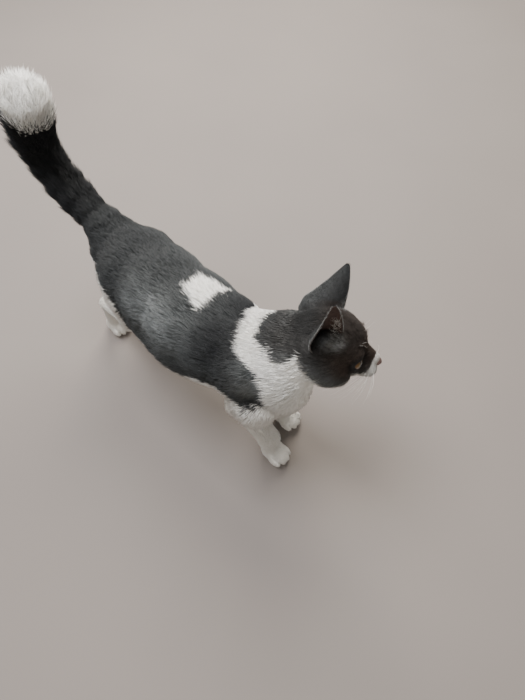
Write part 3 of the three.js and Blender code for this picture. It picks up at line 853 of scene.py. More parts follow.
@dataclass
class Skin:
    """The one skin of the cat, under its coat from nose to tail, with ears and lids."""

    body: Body
    grid_step: float = 3.0
    coarse_step: float = 12.0
    near: float = 22.0
    paw_edge: float = 2.2
    head_edge: float = 2.4
    face_edge: float = 1.3
    mouth_depth: float = 1.5
    low: tuple[float, float, float] = (-345, -110, -6)
    high: tuple[float, float, float] = (303, 147, 438)

    def __post_init__(self) -> None:
        """Make the flesh and lay the skin over it."""
        self.flesh = self.body.flesh()
        self.ears = [self.body.ear(side) for side in SIDES.values()]
        self.lids = [Lids(self.body, self.flesh, side) for side in SIDES.values()]
        self.base = self.settled(self.first_surface())
        self.depth, self.lie, self.zone = self.coat_over(self.base)

    def first_surface(self) -> Surface:
        """Return the skin as the zero level of the flesh on a regular grid."""
        low, high = np.array(self.low), np.array(self.high)
        coarse_count = np.ceil((high - low) / self.coarse_step).astype(int) + 1
        coarse_axes = [low[k] + self.coarse_step * np.arange(coarse_count[k]) for k in range(3)]
        corners = np.stack(np.meshgrid(*coarse_axes, indexing="ij"), -1).reshape(-1, 3)
        rough = self.flesh.under_coat(corners).reshape(coarse_count)
        count = np.ceil((high - low) / self.grid_step).astype(int)
        index = np.stack(np.meshgrid(*[np.arange(n) for n in count], indexing="ij"), -1).reshape(-1, 3)
        ratio = round(self.coarse_step / self.grid_step)
        nearest = tuple(np.minimum((index + ratio // 2) // ratio, coarse_count - 1).T)
        level = np.sign(rough[nearest]) * self.near
        close = np.abs(rough[nearest]) < self.near
        level[close] = self.flesh.under_coat(low + index[close] * self.grid_step)
        grid = openvdb.FloatGrid(background=self.near)
        grid.copyFromArray(level.reshape(tuple(count)).astype(np.float32))
        points, quads = grid.convertToQuads(isovalue=0.0)
        quads = quads.astype(int)[:, ::-1]
        halves = np.concatenate([quads[:, [0, 1, 2]], quads[:, [0, 2, 3]]])
        made = Surface(low + points * self.grid_step, halves)
        return made.turned_out(self.flesh.slope(made.points)[made.triangles[:, 0]])

    def settled(self, surface: Surface) -> Surface:
        """Make the skin finer on head and paws, and lay it exactly on the flesh.

        Args:
            surface: The skin so far.

        Returns:
            The settled skin.
        """
        for _ in range(2):
            surface = surface.refined(self.finest(surface.points))
        for _ in range(2):
            off = self.flesh.under_coat(surface.points)
            surface.points -= np.clip(off, -2, 2)[:, None] * self.flesh.slope(surface.points)
        return surface

    def finest(self, points: np.ndarray) -> np.ndarray:
        """Say how fine the skin has to be.

        Args:
            points: One row of x, y, z for each point, in millimetres.

        Returns:
            The longest edge wanted near each point, in millimetres.
        """
        head = self.body.head.local(points)
        on_head = np.linalg.norm(head, axis=1) < 72
        size = np.full(len(points), FAR)
        size[points[:, 2] < 27] = self.paw_edge
        size[(head[:, 0] > -34) & (head[:, 2] > -44) & on_head] = self.head_edge
        size[(head[:, 0] > 12) & on_head] = self.face_edge
        return size

    def coat_over(self, surface: Surface) -> tuple[np.ndarray, np.ndarray, np.ndarray]:
        """Read the coat over the skin.

        Args:
            surface: The skin so far.

        Returns:
            The coat's depth, the lie of its hair along the skin, and the zone, at each point.
        """
        depth, lie, zone = self.flesh.coat_at(surface.points)
        normals = surface.normals()
        lie = surface.smoothed(unit(lie), 12)
        lie = unit(lie - (lie * normals).sum(axis=1)[:, None] * normals)
        trunk = zone == Zone.LOIN.value
        zone[trunk & (surface.points[:, 0] > 62)] = Zone.CHEST.value
        zone[trunk & (surface.points[:, 0] < -64)] = Zone.RUMP.value
        return depth, lie, zone

    def face_folds(self) -> np.ndarray:
        """Return the skin's points after the eyes' hollows and the mouth's line are pressed in."""
        points = self.base.points.copy()
        for lids in self.lids:
            centre, hollow = self.body.eye_centre(lids.side), lids.under(points, 16)
            out = points[hollow] - centre
            reach = np.linalg.norm(out, axis=1)[:, None]
            points[hollow] = centre + out / reach * np.minimum(reach, self.body.eye_size() - 1.5)
        fold = self.mouth_depth * np.exp(-((self.mouth_distance(points) / 0.9) ** 2))
        return points - fold[:, None] * self.base.normals()

    def mouth_distance(self, points: np.ndarray) -> np.ndarray:
        """Lay the mouth's line on the skin and measure from it.

        Args:
            points: One row of x, y, z for each point, in millimetres.

        Returns:
            How far each point is from the line.
        """
        mirrored = self.body.head.mirrored
        skin = mirrored(self.base.points)
        lengths = [np.linspace(start, end, 4)[:3] for start, end in zip(MOUTH[:-1], MOUTH[1:])]
        line = np.concatenate([*lengths, MOUTH[-1:]])
        laid = np.array([skin[np.linalg.norm(skin - corner, axis=1).argmin()] for corner in line])
        return distance_to_line(mirrored(points), laid)

    def surface(self) -> Surface:
        """Return the whole skin: body, ears and lids."""
        lips = {"bare": np.exp(-((self.mouth_distance(self.base.points) / 1.2) ** 2))}
        body = Surface(self.face_folds(), self.base.triangles, lips)
        body.points[:, 2] = np.maximum(body.points[:, 2], 0.3)
        return Surface.joined([body, *(part.surface() for part in (*self.ears, *self.lids))])


def distance_to_line(points: np.ndarray, line: np.ndarray) -> np.ndarray:
    """Return each point's distance to a line of straight lengths.

    Args:
        points: One row of x, y, z for each point.
        line: One row for each corner of the line.

    Returns:
        The distance of each point.
    """
    nearest = np.full(len(points), FAR)
    for start, end in zip(line[:-1], line[1:]):
        along = end - start
        t = np.clip((points - start) @ along / (along @ along), 0, 1)
        nearest = np.minimum(nearest, np.linalg.norm(points - start - t[:, None] * along, axis=1))
    return nearest


def step_between(value: np.ndarray, start: float, end: float) -> np.ndarray:
    """Return 0 before the start, 1 past the end and a smooth rise between them."""
    t = np.clip((value - start) / (end - start), 0, 1)
    return t * t * (3 - 2 * t)


@dataclass(frozen=True)
class SoftPatch:
    """A patch that fades out from one place along the trunk and one angle from the spine, in degrees."""

    along: float
    length: float
    angle: float
    width: float
    strength: float = 1.0

    def at(self, x: np.ndarray, angle: np.ndarray) -> np.ndarray:
        """Return the patch's strength at places along the trunk and angles from the spine."""
        fade = ((x - self.along) / self.length) ** 2 + ((angle - self.angle) / self.width) ** 2
        return self.strength * np.exp(-fade)


@dataclass(frozen=True)
class Markings:
    """Where the coat is white, where it is nearly black, and where the face's brown mask lies; also the
    painted shade and painted light laid over the grey.
    """

    body: Body
    # angle from the spine towards the right, in degrees, and how far forwards the grey saddle goes there
    saddle_front: tuple[tuple[float, float], ...] = (
        (-180, 58), (-60, 67), (-17, 82), (6, 94), (26, 106), (33, 122), (41, 141), (62, 152), (98, 161),
        (180, 152),
    )
    # how far forwards along the trunk, and the angle from the spine at which the grey ends there
    saddle_low: tuple[tuple[float, float], ...] = (
        (-200, 150), (-90, 150), (-60, 125), (30, 122), (62, 108), (84, 102), (101, 97), (117, 104),
        (150, 109), (175, 100),
    )
    # in the head's frame, how far forwards, and the height at which its grey ends
    cheek_line: tuple[tuple[float, float], ...] = (
        (-90, 6), (-76, -2), (-67, -2), (-62, -8), (-49, -9), (-41, -1), (-37, 7), (-29, -6), (-20, -13),
        (-11, -20), (0, -28), (10, -26), (23, -20), (34, -17), (40, -12), (44, -4), (47, 11), (60, 18),
    )
    # how far forwards along the hind leg, and the height below which its back is white
    breeches: tuple[tuple[float, float], ...] = (
        (-165, 202), (-149, 202), (-124, 190), (-111, 176), (-100, 150), (-90, 105),
    )
    # the white patch on the back: its ends along the trunk, and its angle from the spine
    back_patch: tuple[float, float] = (-11, 31)
    back_patch_angle: float = -13
    # how far forwards and how high the white of the tail's tip begins
    tail_white: tuple[float, float] = (-262, 374)
    edge_jitter: float = 1.8
    # painted shade and light on the grey coat: a painted shadow behind the collar, a painted sheen over the
    # flanks and painted light on the shoulders
    collar_shadow: SoftPatch = SoftPatch(76, 30, 34, 36)
    painted_flank_sheen: tuple[SoftPatch, ...] = (SoftPatch(-25, 52, 60, 36), SoftPatch(-25, 52, -82, 28, 0.4))
    painted_shoulder_light: SoftPatch = SoftPatch(138, 24, 62, 26, 0.95)
    # the eye's dark ring, and the lobe before the ear, paler in its own hair and painted paler still against
    # the ear's shadow: middle and radii in the head's frame, left side
    eye_ring: tuple[Spot, Spot] = ((26, 19, 3), (15, 17, 12))
    temple: tuple[Spot, Spot] = ((1, 32, 34), (16, 15, 12))

    def round_trunk(self, points: np.ndarray) -> tuple[np.ndarray, np.ndarray]:
        """Find where points are round the trunk.

        Args:
            points: One row of x, y, z for each point, in millimetres.

        Returns:
            Each point's angle from the spine to the right, and the millimetres in a degree there.
        """
        trunk = np.array(self.body.trunk)
        across = points[:, 1] - np.interp(points[:, 0], trunk[:, 0], trunk[:, 1])
        above = points[:, 2] - np.interp(points[:, 0], trunk[:, 0], trunk[:, 2])
        return np.degrees(np.arctan2(-across, above)), np.radians(1) * np.hypot(across, above)

    def white_depth(self, points: np.ndarray) -> np.ndarray:
        """Measure how far points lie inside the white.

        Args:
            points: One row of x, y, z for each point, in millimetres.

        Returns:
            The depths in millimetres, below zero in the grey.
        """
        x, z = points[:, 0], points[:, 2]
        angle, to_mm = self.round_trunk(points)
        front = x - np.interp(angle, *np.array(self.saddle_front).T)
        low = (np.abs(angle) - np.interp(x, *np.array(self.saddle_low).T)) * to_mm
        rear, fore = self.back_patch
        half = 14 + 0.33 * (x - rear)
        beside = (half - np.abs(angle - self.back_patch_angle)) * to_mm
        patch = np.minimum.reduce([x - rear, fore - x, beside])
        saddle = np.maximum.reduce([front, low, patch])
        hx, hy, hz = self.body.head.local(points).T
        nape_end = -84 + np.clip((hy + 8) / 30, -1.5, 1.5) ** 2 * 10
        nape = np.maximum(np.interp(hx, *np.array(self.cheek_line).T) - hz, nape_end - hx)
        white = np.minimum(saddle, nape)
        behind = np.interp(x, *np.array(self.breeches).T) - z
        white = np.where(x < -90, np.maximum(white, behind), white)
        tail = 0.74 * (z - self.tail_white[1]) + 0.67 * (x - self.tail_white[0])
        return np.where((x < -175) & (z > 205), tail, white)

    def values(self, points: np.ndarray, rng: np.random.Generator | None = None) -> dict[str, np.ndarray]:
        """Return the shares of white, of near black and painted shade, of brown mask and of pale grey, which
        is mostly painted light.

        Args:
            points: One row of x, y, z for each root.
            rng: The draw that scatters the edges hair by hair, or none for the skin.

        Returns:
            The values by name, each from 0 to 1.
        """
        depth = self.white_depth(points) + 1.6 * Ripple(5, 14).at(points) + 0.7 * Ripple(6, 5).at(points)
        if rng is not None:
            depth += rng.normal(0, self.edge_jitter, len(points)) * np.where(points[:, 2] > 320, 3.0, 1.0)
        x, angle = points[:, 0], self.round_trunk(points)[0]
        head, mirror = self.body.head.local(points), self.body.head.mirrored(points)
        forward, height, reach = head[:, 0], head[:, 2], np.linalg.norm(head, axis=1)
        on_head = (reach < 95) & (x > 120)
        on_ear = step_between(in_eggs(head, *SKULL), 1.06, 1.2) * step_between(height, 12, 22)
        fade = 1 - step_between(reach, 62, 95)
        front = step_between(forward + 0.5 * height, -16, 16)
        mask = 0.3 + 0.7 * front * (1 - 0.75 * step_between(-height, 0, 20))
        lobe = 1 - step_between(in_eggs(mirror, *self.temple), 0.45, 1.25)
        lobe *= np.clip(0.75 + 0.45 * Ripple(4, 3).at(points), 0, 1)
        mask *= on_head * fade * (1 - 0.8 * on_ear) * (1 - 0.8 * lobe)
        ring = 1 - step_between(in_eggs(mirror, *self.eye_ring), 0.6, 1.2)
        # the rump darkens towards the tail as painted shade, and joins the painted shadow behind the collar,
        # the tail's own near black and the eye's dark ring
        rump = 0.24 * step_between(-x, 60, 115) + 0.06 * step_between(-x, 150, 180)
        dusk = np.maximum.reduce([
            rump + 0.7 * step_between(-x, 180, 222),
            self.collar_shadow.at(x, np.abs(angle)),
            0.75 * on_head * ring,
            0.4 * on_head * step_between(height, 14, 30) * (1 - lobe),
        ])
        # painted light: a sheen over the flanks, light on the shoulders and on the lower cheeks, and the
        # temple lobe lifted out of the ear's shadow
        pale = sum(patch.at(x, angle) for patch in self.painted_flank_sheen)
        pale += self.painted_shoulder_light.at(x, np.abs(angle))
        pale += 0.85 * on_head * fade * step_between(-height, -8, 14)
        pale = np.maximum(pale * (1 + 0.3 * Ripple(8, 30).at(points)) * (1 - dusk), 0.85 * lobe * on_head)
        # the muzzle's white dims towards tan, partly its own tan and partly painted shade
        white = step_between(depth, -1.2, 1.2) * (1 - 0.48 * on_head * step_between(forward, 26, 40))
        # the temple lobe is lifted towards white, partly its own paler hair and partly painted light
        white = np.maximum(white, 0.2 * lobe * on_head)
        return {"white": white, "dusk": dusk, "mask": mask, "pale": np.clip(pale, 0, 1)}


@dataclass(frozen=True)
class Unwrap:
    """An unwrap of one zone of skin: each length of body is opened round its own middle line."""

    lines: tuple[np.ndarray, ...]

    def at(self, points: np.ndarray) -> np.ndarray:
        """Lay points on the unwrap.

        Args:
            points: One row of x, y, z for each point, in millimetres.

        Returns:
            Their places on it, from 0 to 1 both ways.
        """
        best = np.full(len(points), 1e9)
        place = np.zeros((len(points), 2))
        for chart, line in enumerate(self.lines):
            lengths = np.linalg.norm(np.diff(line, axis=0), axis=1)
            starts = np.concatenate([[0], np.cumsum(lengths)])
            last = len(lengths) - 1
            for i, (start, end) in enumerate(zip(line[:-1], line[1:])):
                way = (end - start) / lengths[i]
                along = (points - start) @ way
                t = np.clip(along, -1e3 if i == 0 else 0, 1e3 if i == last else lengths[i])
                off = points - start - t[:, None] * way
                away = np.linalg.norm(points - start - np.clip(along, 0, lengths[i])[:, None] * way, axis=1)
                side = unit(np.array([0, 1, 0]) - way[1] * way)
                angle = np.arctan2(off @ np.cross(way, side), off @ side) / (2 * math.pi) + 0.5
                v = np.clip((starts[i] + t + 40) / (starts[-1] + 80), 0, 1)
                u = (chart + 0.03 + 0.94 * angle) / len(self.lines)
                nearer = away < best
                best = np.where(nearer, away, best)
                place = np.where(nearer[:, None], np.stack([u, 0.01 + 0.98 * v], 1), place)
        return place


@dataclass(frozen=True)
class Growth:
    """How the tufts of one zone grow. Lengths are in millimetres."""

    zone: Zone
    count: int
    width: float
    longer: float = 2.0
    stand: tuple[float, float] = (0.55, 1.0)
    swirl: float = 7.0


# a tuft from root to tip: how far along, and how thick there; then its three corners, aside and outwards
TUFT_PROFILE = ((0.0, 0.85), (0.5, 1.0), (1.0, 0.0))
TUFT_RING = ((0.5, 0.0), (0.0, 0.45), (-0.5, 0.0))
# how far a tuft starts below the skin, and how low a hair may reach above the floor
ROOT_SINK = 0.3
LOWEST_HAIR = 0.25


@dataclass
class Coat:
    """The coat: thin tapering tufts that overlap and lie along the body, made zone by zone."""

    skin: Skin
    markings: Markings
    place: Placement
    growths: tuple[Growth, ...] = (
        Growth(Zone.CHEST, 22000, 0.85, 2.6, (0.42, 0.85)),
        Growth(Zone.LOIN, 22000, 0.85, 2.6, (0.5, 0.95)),
        Growth(Zone.RUMP, 22000, 0.85, 2.6, (0.5, 0.95)),
        Growth(Zone.NECK, 18000, 0.8, 2.6, (0.42, 0.85)),
        Growth(Zone.HEAD, 22000, 0.46, 2.4, (0.35, 0.85), 6.0),
        Growth(Zone.EARS, 9000, 0.42, 2.8, (0.3, 0.8), 5.0),
        Growth(Zone.TAIL, 22000, 0.8, 2.2, (0.55, 1.1), 6.0),
        Growth(Zone.FORELEGS, 13500, 0.62, 2.2),
        Growth(Zone.HINDLEGS, 13500, 0.62, 2.2),
    )
    patch: float = 0.003
    colour_from: float = 0.6
    ear_depth: float = 1.1
    lid_depth: float = 1.15

    def __post_init__(self) -> None:
        """Gather all the skin that hair grows from."""
        skin, head = self.skin, self.skin.body.head
        base = Surface(skin.face_folds(), skin.base.triangles)
        parts = [self.turf(base, skin.depth, skin.lie, skin.zone, self.open_skin())]
        for ear in skin.ears:
            part = ear.surface()
            bare = part.values["bare"]
            # painted rim light: the hair along each ear's edge is made pale
            rim = step_between(np.tile(np.abs(np.linspace(-1, 1, ear.columns)), 2 * ear.rows), 0.84, 0.96)
            lie = unit(ear.axes()[1])
            parts.append(self.turf(part, self.ear_depth, lie, Zone.EARS.value, 1 - 0.8 * bare, bare, rim))
        for lids in skin.lids:
            part = lids.surface()
            out = part.points - skin.body.eye_centre(lids.side)
            outward, away = unit(out), out - 40 * skin.body.gaze(lids.side)
            spread = unit(away - (away * outward).sum(axis=1)[:, None] * outward)
            lie = unit(0.6 * spread + head.way(-1, 0, 0.2))
            parts.append(self.turf(part, self.lid_depth, lie, Zone.HEAD.value, part.values["bare"] < 0.2))
        self.surface = Surface.joined(parts)
        self.normals = self.surface.normals()
        self.area = np.linalg.norm(self.surface.face_normals(), axis=1) / 2

    @staticmethod
    def turf(
        part: Surface,
        depth: np.ndarray | float,
        lie: np.ndarray,
        zone: np.ndarray | int,
        growing: np.ndarray,
        hollow: np.ndarray | float = 0.0,
        rim: np.ndarray | float = 0.0,
    ) -> Surface:
        """Return a part of the skin with how hair grows at its points. One value may hold for them all.

        Args:
            part: The skin.
            depth: The coat's depth in millimetres.
            lie: The unit way that the hair lies.
            zone: The number of the coat's zone.
            growing: How thickly hair grows.
            hollow: The share of an ear's dark hollow.
            rim: The share of an ear's rim, painted pale as rim light.

        Returns:
            The same surface with these values.
        """
        count = len(part.points)
        values = {"depth": depth, "zone": zone, "growing": growing, "hollow": hollow, "rim": rim}
        values = {name: np.broadcast_to(np.asarray(value, float), count) for name, value in values.items()}
        return Surface(part.points, part.triangles, values | {"lie": np.broadcast_to(lie, (count, 3))})

    def open_skin(self) -> np.ndarray:
        """Return how thickly hair grows on the body's skin: not on nose, lips, soles or under the lids."""
        skin, points = self.skin, self.skin.base.points
        head = skin.body.head.local(points)
        grows = np.where((skin.zone == Zone.HEAD.value) & (head[:, 0] > 8), 1.8, 1.0)
        for lids in skin.lids:
            grows[lids.under(points, 14)] = 0
        grows[in_eggs(head, (51, 0, -6.5), (6.5, 7.2, 5.4)) < 1] = 0
        grows[(points[:, 2] < 1.5) | (skin.mouth_distance(points) < 2.2)] = 0
        return grows

    def lines(self, zone: Zone) -> tuple[np.ndarray, ...]:
        """Name the middle lines that a zone's unwrap opens round.

        Args:
            zone: The part of the coat.

        Returns:
            The lines, each as points in a row.
        """
        body = self.skin.body
        trunk = np.array(body.trunk)[:, :3]
        if zone in (Zone.CHEST, Zone.LOIN, Zone.RUMP):
            low = {Zone.CHEST: 4, Zone.LOIN: 2, Zone.RUMP: 0}[zone]
            return (trunk[low : low + 3],)
        if zone is Zone.NECK:
            return (np.array(NECK_ENDS, float),)
        if zone is Zone.HEAD:
            return (np.array([body.head.point(-40, 0, 0), body.head.point(55, 0, -8)]),)
        if zone is Zone.TAIL:
            return (np.array(body.tail)[:, :3],)
        if zone is Zone.EARS:
            return tuple(np.array([ear.axes()[0], ear.axes()[0] + ear.axes()[1]]) for ear in self.skin.ears)
        lines = []
        for side in SIDES.values():
            if zone is Zone.FORELEGS:
                (x, y), top = body.fore_paws[side], body.beside(body.elbow, side * 34)
                corners = (top, (x - 14, y, body.wrist_height), (x - 8, y, 16), (x + 26, y, 9))
            else:
                (x, y), top = body.hind_paws[side], body.beside(body.knee, side * 36)
                corners = (top, (x - 12, y, body.hock_height), (x - 6, y, 18), (x + 25, y, 9))
            lines.append(np.array(corners, float))
        return tuple(lines)

    def tufts(self, growth: Growth) -> Surface:
        """Return one zone's tufts as a surface.

        Args:
            growth: How that zone's tufts grow.

        Returns:
            The joined tufts with their values and their places on the unwrap.
        """
        rng = np.random.default_rng(100 + growth.zone.value)
        corners = self.surface.triangles
        skin = self.surface.values
        inside = (skin["zone"][corners] == growth.zone.value).sum(axis=1) >= 2
        weight = self.area * skin["growing"][corners].mean(axis=1) * inside
        count = growth.count
        face = rng.choice(len(corners), size=count, p=weight / weight.sum())
        share = rng.dirichlet((1, 1, 1), size=count)[:, :, None]

        def here(value: np.ndarray) -> np.ndarray:
            """Return a value of the skin's points at the roots."""
            if value.ndim == 1:
                return here(value[:, None])[:, 0]
            return (value[corners[face]] * share).sum(axis=1)

        root, normal = here(self.surface.points), unit(here(self.normals))
        lie, depth = here(skin["lie"]), here(skin["depth"])
        lie = unit(lie - (lie * normal).sum(axis=1)[:, None] * normal)
        across = np.cross(normal, lie)
        swirl = 0.8 * Ripple(1, 45).at(root) + 0.9 * Ripple(2, 9).at(root) + 0.9 * rng.normal(size=count)
        turn = np.radians(growth.swirl * swirl)[:, None]
        lie, across = np.cos(turn) * lie + np.sin(turn) * across, np.cos(turn) * across - np.sin(turn) * lie
        length = depth * growth.longer * rng.uniform(0.75, 1.15, count)
        stand = rng.uniform(*growth.stand, count) * (1 + 0.08 * Ripple(3, 12).at(root))
        rise = np.minimum(depth * stand, 0.85 * length)
        run = np.sqrt(length**2 - rise**2)
        width = growth.width * rng.uniform(0.75, 1.2, count) * np.clip(0.55 + depth / 12, 0.5, 1.15)
        bend = rng.normal(0, 0.1, count) * length
        points, along = [], []
        for t, thick in TUFT_PROFILE:
            climb = rise * (1 - (1 - t) ** 2) - ROOT_SINK * (1 - t)
            centre = root + (run * t)[:, None] * lie + climb[:, None] * normal
            centre += (bend * t * t)[:, None] * across
            for sideways, outward in TUFT_RING if thick else ((0.0, 0.0),):
                aside, lift = (sideways * thick * width)[:, None], (outward * thick * width)[:, None]
                points.append(centre + aside * across + lift * normal)
                along.append(t)
        corner_count = len(along)
        points = np.stack(points, axis=1)
        points[..., 2] = np.maximum(points[..., 2], LOWEST_HAIR)
        pattern, steps = [], []
        for j in range(3):
            k = (j + 1) % 3
            pattern += [(j, 3 + k, k), (j, 3 + j, 3 + k), (3 + j, 6, 3 + k)]
            steps += [(j, j + 1, j + 1), (j, j, j + 1), (j, j + 0.5, j + 1)]
        pattern, steps = np.array(pattern), np.array(steps)
        triangles = (np.arange(count)[:, None, None] * corner_count + pattern).reshape(-1, 3)
        values = self.markings.values(root + (self.colour_from * run)[:, None] * lie, rng)
        hollow, rim = here(skin["hollow"]), here(skin["rim"])
        # the hollow takes the mask's brown, and the rim is painted pale as rim light
        values["mask"] = np.maximum(values["mask"], hollow) * (1 - rim)
        values["pale"] = np.maximum(values["pale"] * (1 - 0.5 * hollow), rim)
        values["white"] = np.maximum(values["white"], 0.25 * rim)
        values["shade"] = np.clip(0.5 + 0.16 * rng.normal(size=count) + 0.1 * Ripple(4, 26).at(root), 0, 1)
        values = {name: np.repeat(value, corner_count) for name, value in values.items()}
        values["along"] = np.tile(np.array(along), count)
        spot = Unwrap(self.lines(growth.zone)).at(root)
        local = np.stack([steps / 3 - 0.5, np.array(along)[pattern] - 0.5], axis=-1) * self.patch
        uv = (spot[:, None, None, :] + local[None]).reshape(-1, 2)
        return Surface(points.reshape(-1, 3), triangles, values, uv)

    def build(self, finish: bpy.types.Material) -> list[bpy.types.Object]:
        """Make every zone's piece and give it the coat's finish.

        Args:
            finish: The material of the hair.

        Returns:
            The pieces made.
        """
        slots = dict.fromkeys((Zone.TAIL, Zone.HEAD), "dark_coat")
        slots |= dict.fromkeys((Zone.CHEST, Zone.FORELEGS), "white_coat")
        made = []
        for growth in self.growths:
            piece = self.tufts(growth).build(f"coat_{growth.zone.name.lower()}", self.place, finish)
            made.append((piece, slots.get(growth.zone, "grey_coat"))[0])
        return made


@dataclass
class Eye:
    """An eyeball with the low swell of its cornea, its iris marked out by angle and place."""

    body: Body
    side: int
    swell: float = 0.7
    cornea: float = 42
    rings: int = 40
    around: int = 64

    def surface(self) -> Surface:
        """Return the eyeball, with each point's place across the gaze in millimetres."""
        gaze, upward = self.body.gaze(self.side), self.body.head.way(0, 0, 1)
        upward = unit(upward - (upward @ gaze) * gaze)
        across = np.cross(upward, gaze)
        away, angle = ball_angles(self.rings, self.around)
        x, y = np.sin(away) * np.cos(angle), np.sin(away) * np.sin(angle)
        ways = np.cos(away)[:, None] * gaze + x[:, None] * across + y[:, None] * upward
        size = self.body.eye_size() - 0.15
        bulge = self.swell * np.clip(1 - (np.degrees(away) / self.cornea) ** 2, 0, 1)
        points = self.body.eye_centre(self.side) + (size + bulge)[:, None] * ways
        faces = sheet_triangles(self.rings, self.around, wrap=True)
        return Surface(points, faces, {"iris_x": x * size, "iris_y": y * size}).turned_out(ways[faces[:, 0]])


@dataclass
class Nose:
    """The nose leather: a small pad, wide above and narrow below, with two comma-shaped nostrils."""

    body: Body
    centre: tuple[float, float, float] = (50.5, 0, -6.5)
    size: tuple[float, float, float] = (4.4, 6.5, 4.7)
    # each nostril and the comma that runs out from it: how far aside and how high, and how wide and tall
    nostril: tuple[float, float, float, float] = (3.1, -1.4, 1.15, 1.3)
    comma: tuple[float, float, float, float] = (5.0, -0.2, 1.3, 0.7)
    nostril_depth: float = 2.0
    groove_depth: float = 0.6
    rings: int = 56
    around: int = 96

    def surface(self) -> Surface:
        """Return the pad, with how deep each point is in a nostril or in the groove."""
        away, angle = ball_angles(self.rings, self.around)
        way = np.stack([np.cos(away), np.sin(away) * np.cos(angle), np.sin(away) * np.sin(angle)], axis=1)
        local = way * np.array(self.size)
        low = np.clip(-local[:, 2] / self.size[2], 0, 1)
        local[:, 1] *= 1 - 0.42 * low
        local[:, 0] += 0.5 * (1 - low) * np.clip(way[:, 0], 0, 1)
        mirror, in_front = np.abs(local[:, 1]), way[:, 0] > 0
        aside, up, wide, tall = self.nostril
        hole = np.exp(-(((mirror - aside) / wide) ** 2) - ((local[:, 2] - up) / tall) ** 2)
        aside, up, wide, tall = self.comma
        curl = (local[:, 2] - up - 0.25 * (mirror - aside)) / tall
        comma = np.exp(-(((mirror - aside) / wide) ** 2) - curl**2)
        groove = np.exp(-((mirror / 0.45) ** 2)) * step_between(-local[:, 2], 0.2, 2.5)
        deep = np.clip(hole + 0.8 * comma, 0, 1) * in_front
        local[:, 0] -= self.nostril_depth * deep + self.groove_depth * groove * in_front
        points = self.body.head.point(*self.centre) + local @ self.body.head.turn().T
        faces = sheet_triangles(self.rings, self.around, wrap=True)
        # the same depth darkens the leather as painted shade
        made = Surface(points, faces, {"deep": np.clip(deep + 0.5 * groove, 0, 1)})
        return made.turned_out(points[faces[:, 0]] - points.mean(axis=0))


@dataclass
class Whiskers:
    """Whiskers on the pads of the muzzle and over the eyes, and the wisps in the ears."""

    body: Body
    ears: Sequence[Ear]
    rows: int = 3
    columns: int = 4
    thickness: float = 0.4
    lengths: tuple[float, float] = (36, 52)
    brow_lengths: tuple[float, float] = (20, 27)
    wisps: int = 80
    wisp_lengths: tuple[float, float] = (8, 15)
    wisp_thickness: float = 0.42
    sides: int = 3
    steps: int = 9

    def strand(
        self, start: np.ndarray, way: np.ndarray, fall: np.ndarray, length: float, thickness: float
    ) -> Surface:
        """Return one tapering hair.

        Args:
            start: Its root, in the body's frame.
            way: The unit way it leaves the skin.
            fall: How far its tip is carried aside, as a share of the length.
            length: Its length in millimetres.
            thickness: Its thickness at the root in millimetres.

        Returns:
            The hair, as a thin closed spike.
        """
        side = unit(np.cross(way, UP + 0.01))
        other = np.cross(way, side)
        points = []
        for t in np.linspace(0, 1, self.steps):
            centre = start + length * (t * way + t * t * fall)
            thick = thickness * (1 - 0.88 * t) / 2
            for k in range(self.sides):
                angle = 2 * math.pi * k / self.sides
                points.append(centre + thick * (math.cos(angle) * side + math.sin(angle) * other))
        return Surface(np.array(points), sheet_triangles(self.steps, self.sides, wrap=True))

    def face_hairs(self) -> Surface:
        """Return the whiskers of both sides of the face."""
        rng = np.random.default_rng(31)
        head = self.body.head
        strands = []
        for side in SIDES.values():
            for row in range(self.rows):
                for back in np.linspace(0, 1, self.columns):
                    root = (47 - 9 * back, side * (12.5 + 4.5 * back), -10.5 - 3.4 * row - 0.8 * back)
                    ahead = 0.3 - 0.85 * back + rng.normal(0, 0.05)
                    way = unit(head.way(ahead, side * 0.9, 0.02 - 0.26 * row))
                    fall = head.way(-0.3, side * -0.12, -0.2 - 0.05 * rng.random())
                    length = rng.uniform(*self.lengths) - 4 * row
                    start = head.point(*root) - 1.5 * way
                    strands.append(self.strand(start, way, fall, length, self.thickness))
            for place in range(2):
                root = (27 - 3 * place, side * (10 + 4 * place), 21.5)
                way = unit(head.way(0.45, side * (0.25 + 0.25 * place), 0.8))
                fall, length = head.way(0.05, side * 0.1, -0.2), rng.uniform(*self.brow_lengths)
                start = head.point(*root) - 2 * way
                strands.append(self.strand(start, way, fall, length, 0.6 * self.thickness))
        return Surface.joined(strands)

    def ear_wisps(self) -> Surface:
        """Return the long pale hairs that cross each ear's hollow from its front edge."""
        rng = np.random.default_rng(32)
        strands = []
        for ear in self.ears:
            foot, height, opening, across = ear.axes()
            front = (across @ self.body.head.way(1, 0, 0)) > 0
            inward = -across if front else across
            for _ in range(self.wisps):
                rise, edge = rng.uniform(-0.02, 0.5), rng.uniform(0.04, 0.22)
                root = ear.points(np.array([rise]), np.array([1 - edge if front else edge]), True)[0]
                way = unit(0.55 * inward + 0.5 * unit(height) + 0.45 * opening + 0.2 * rng.normal(size=3))
                fall = 0.25 * unit(height) - 0.2 * opening
                length = rng.uniform(*self.wisp_lengths)
                strands.append(self.strand(root - 0.5 * way, way, fall, length, self.wisp_thickness))
        return Surface.joined(strands)


def linear(colour: str) -> tuple[float, float, float, float]:
    """Return an sRGB hex colour as linear red, green, blue and alpha."""
    parts = [int(colour[k : k + 2], 16) / 255 for k in (1, 3, 5)]
    return (*[c / 12.92 if c <= 0.04045 else ((c + 0.055) / 1.055) ** 2.4 for c in parts], 1.0)


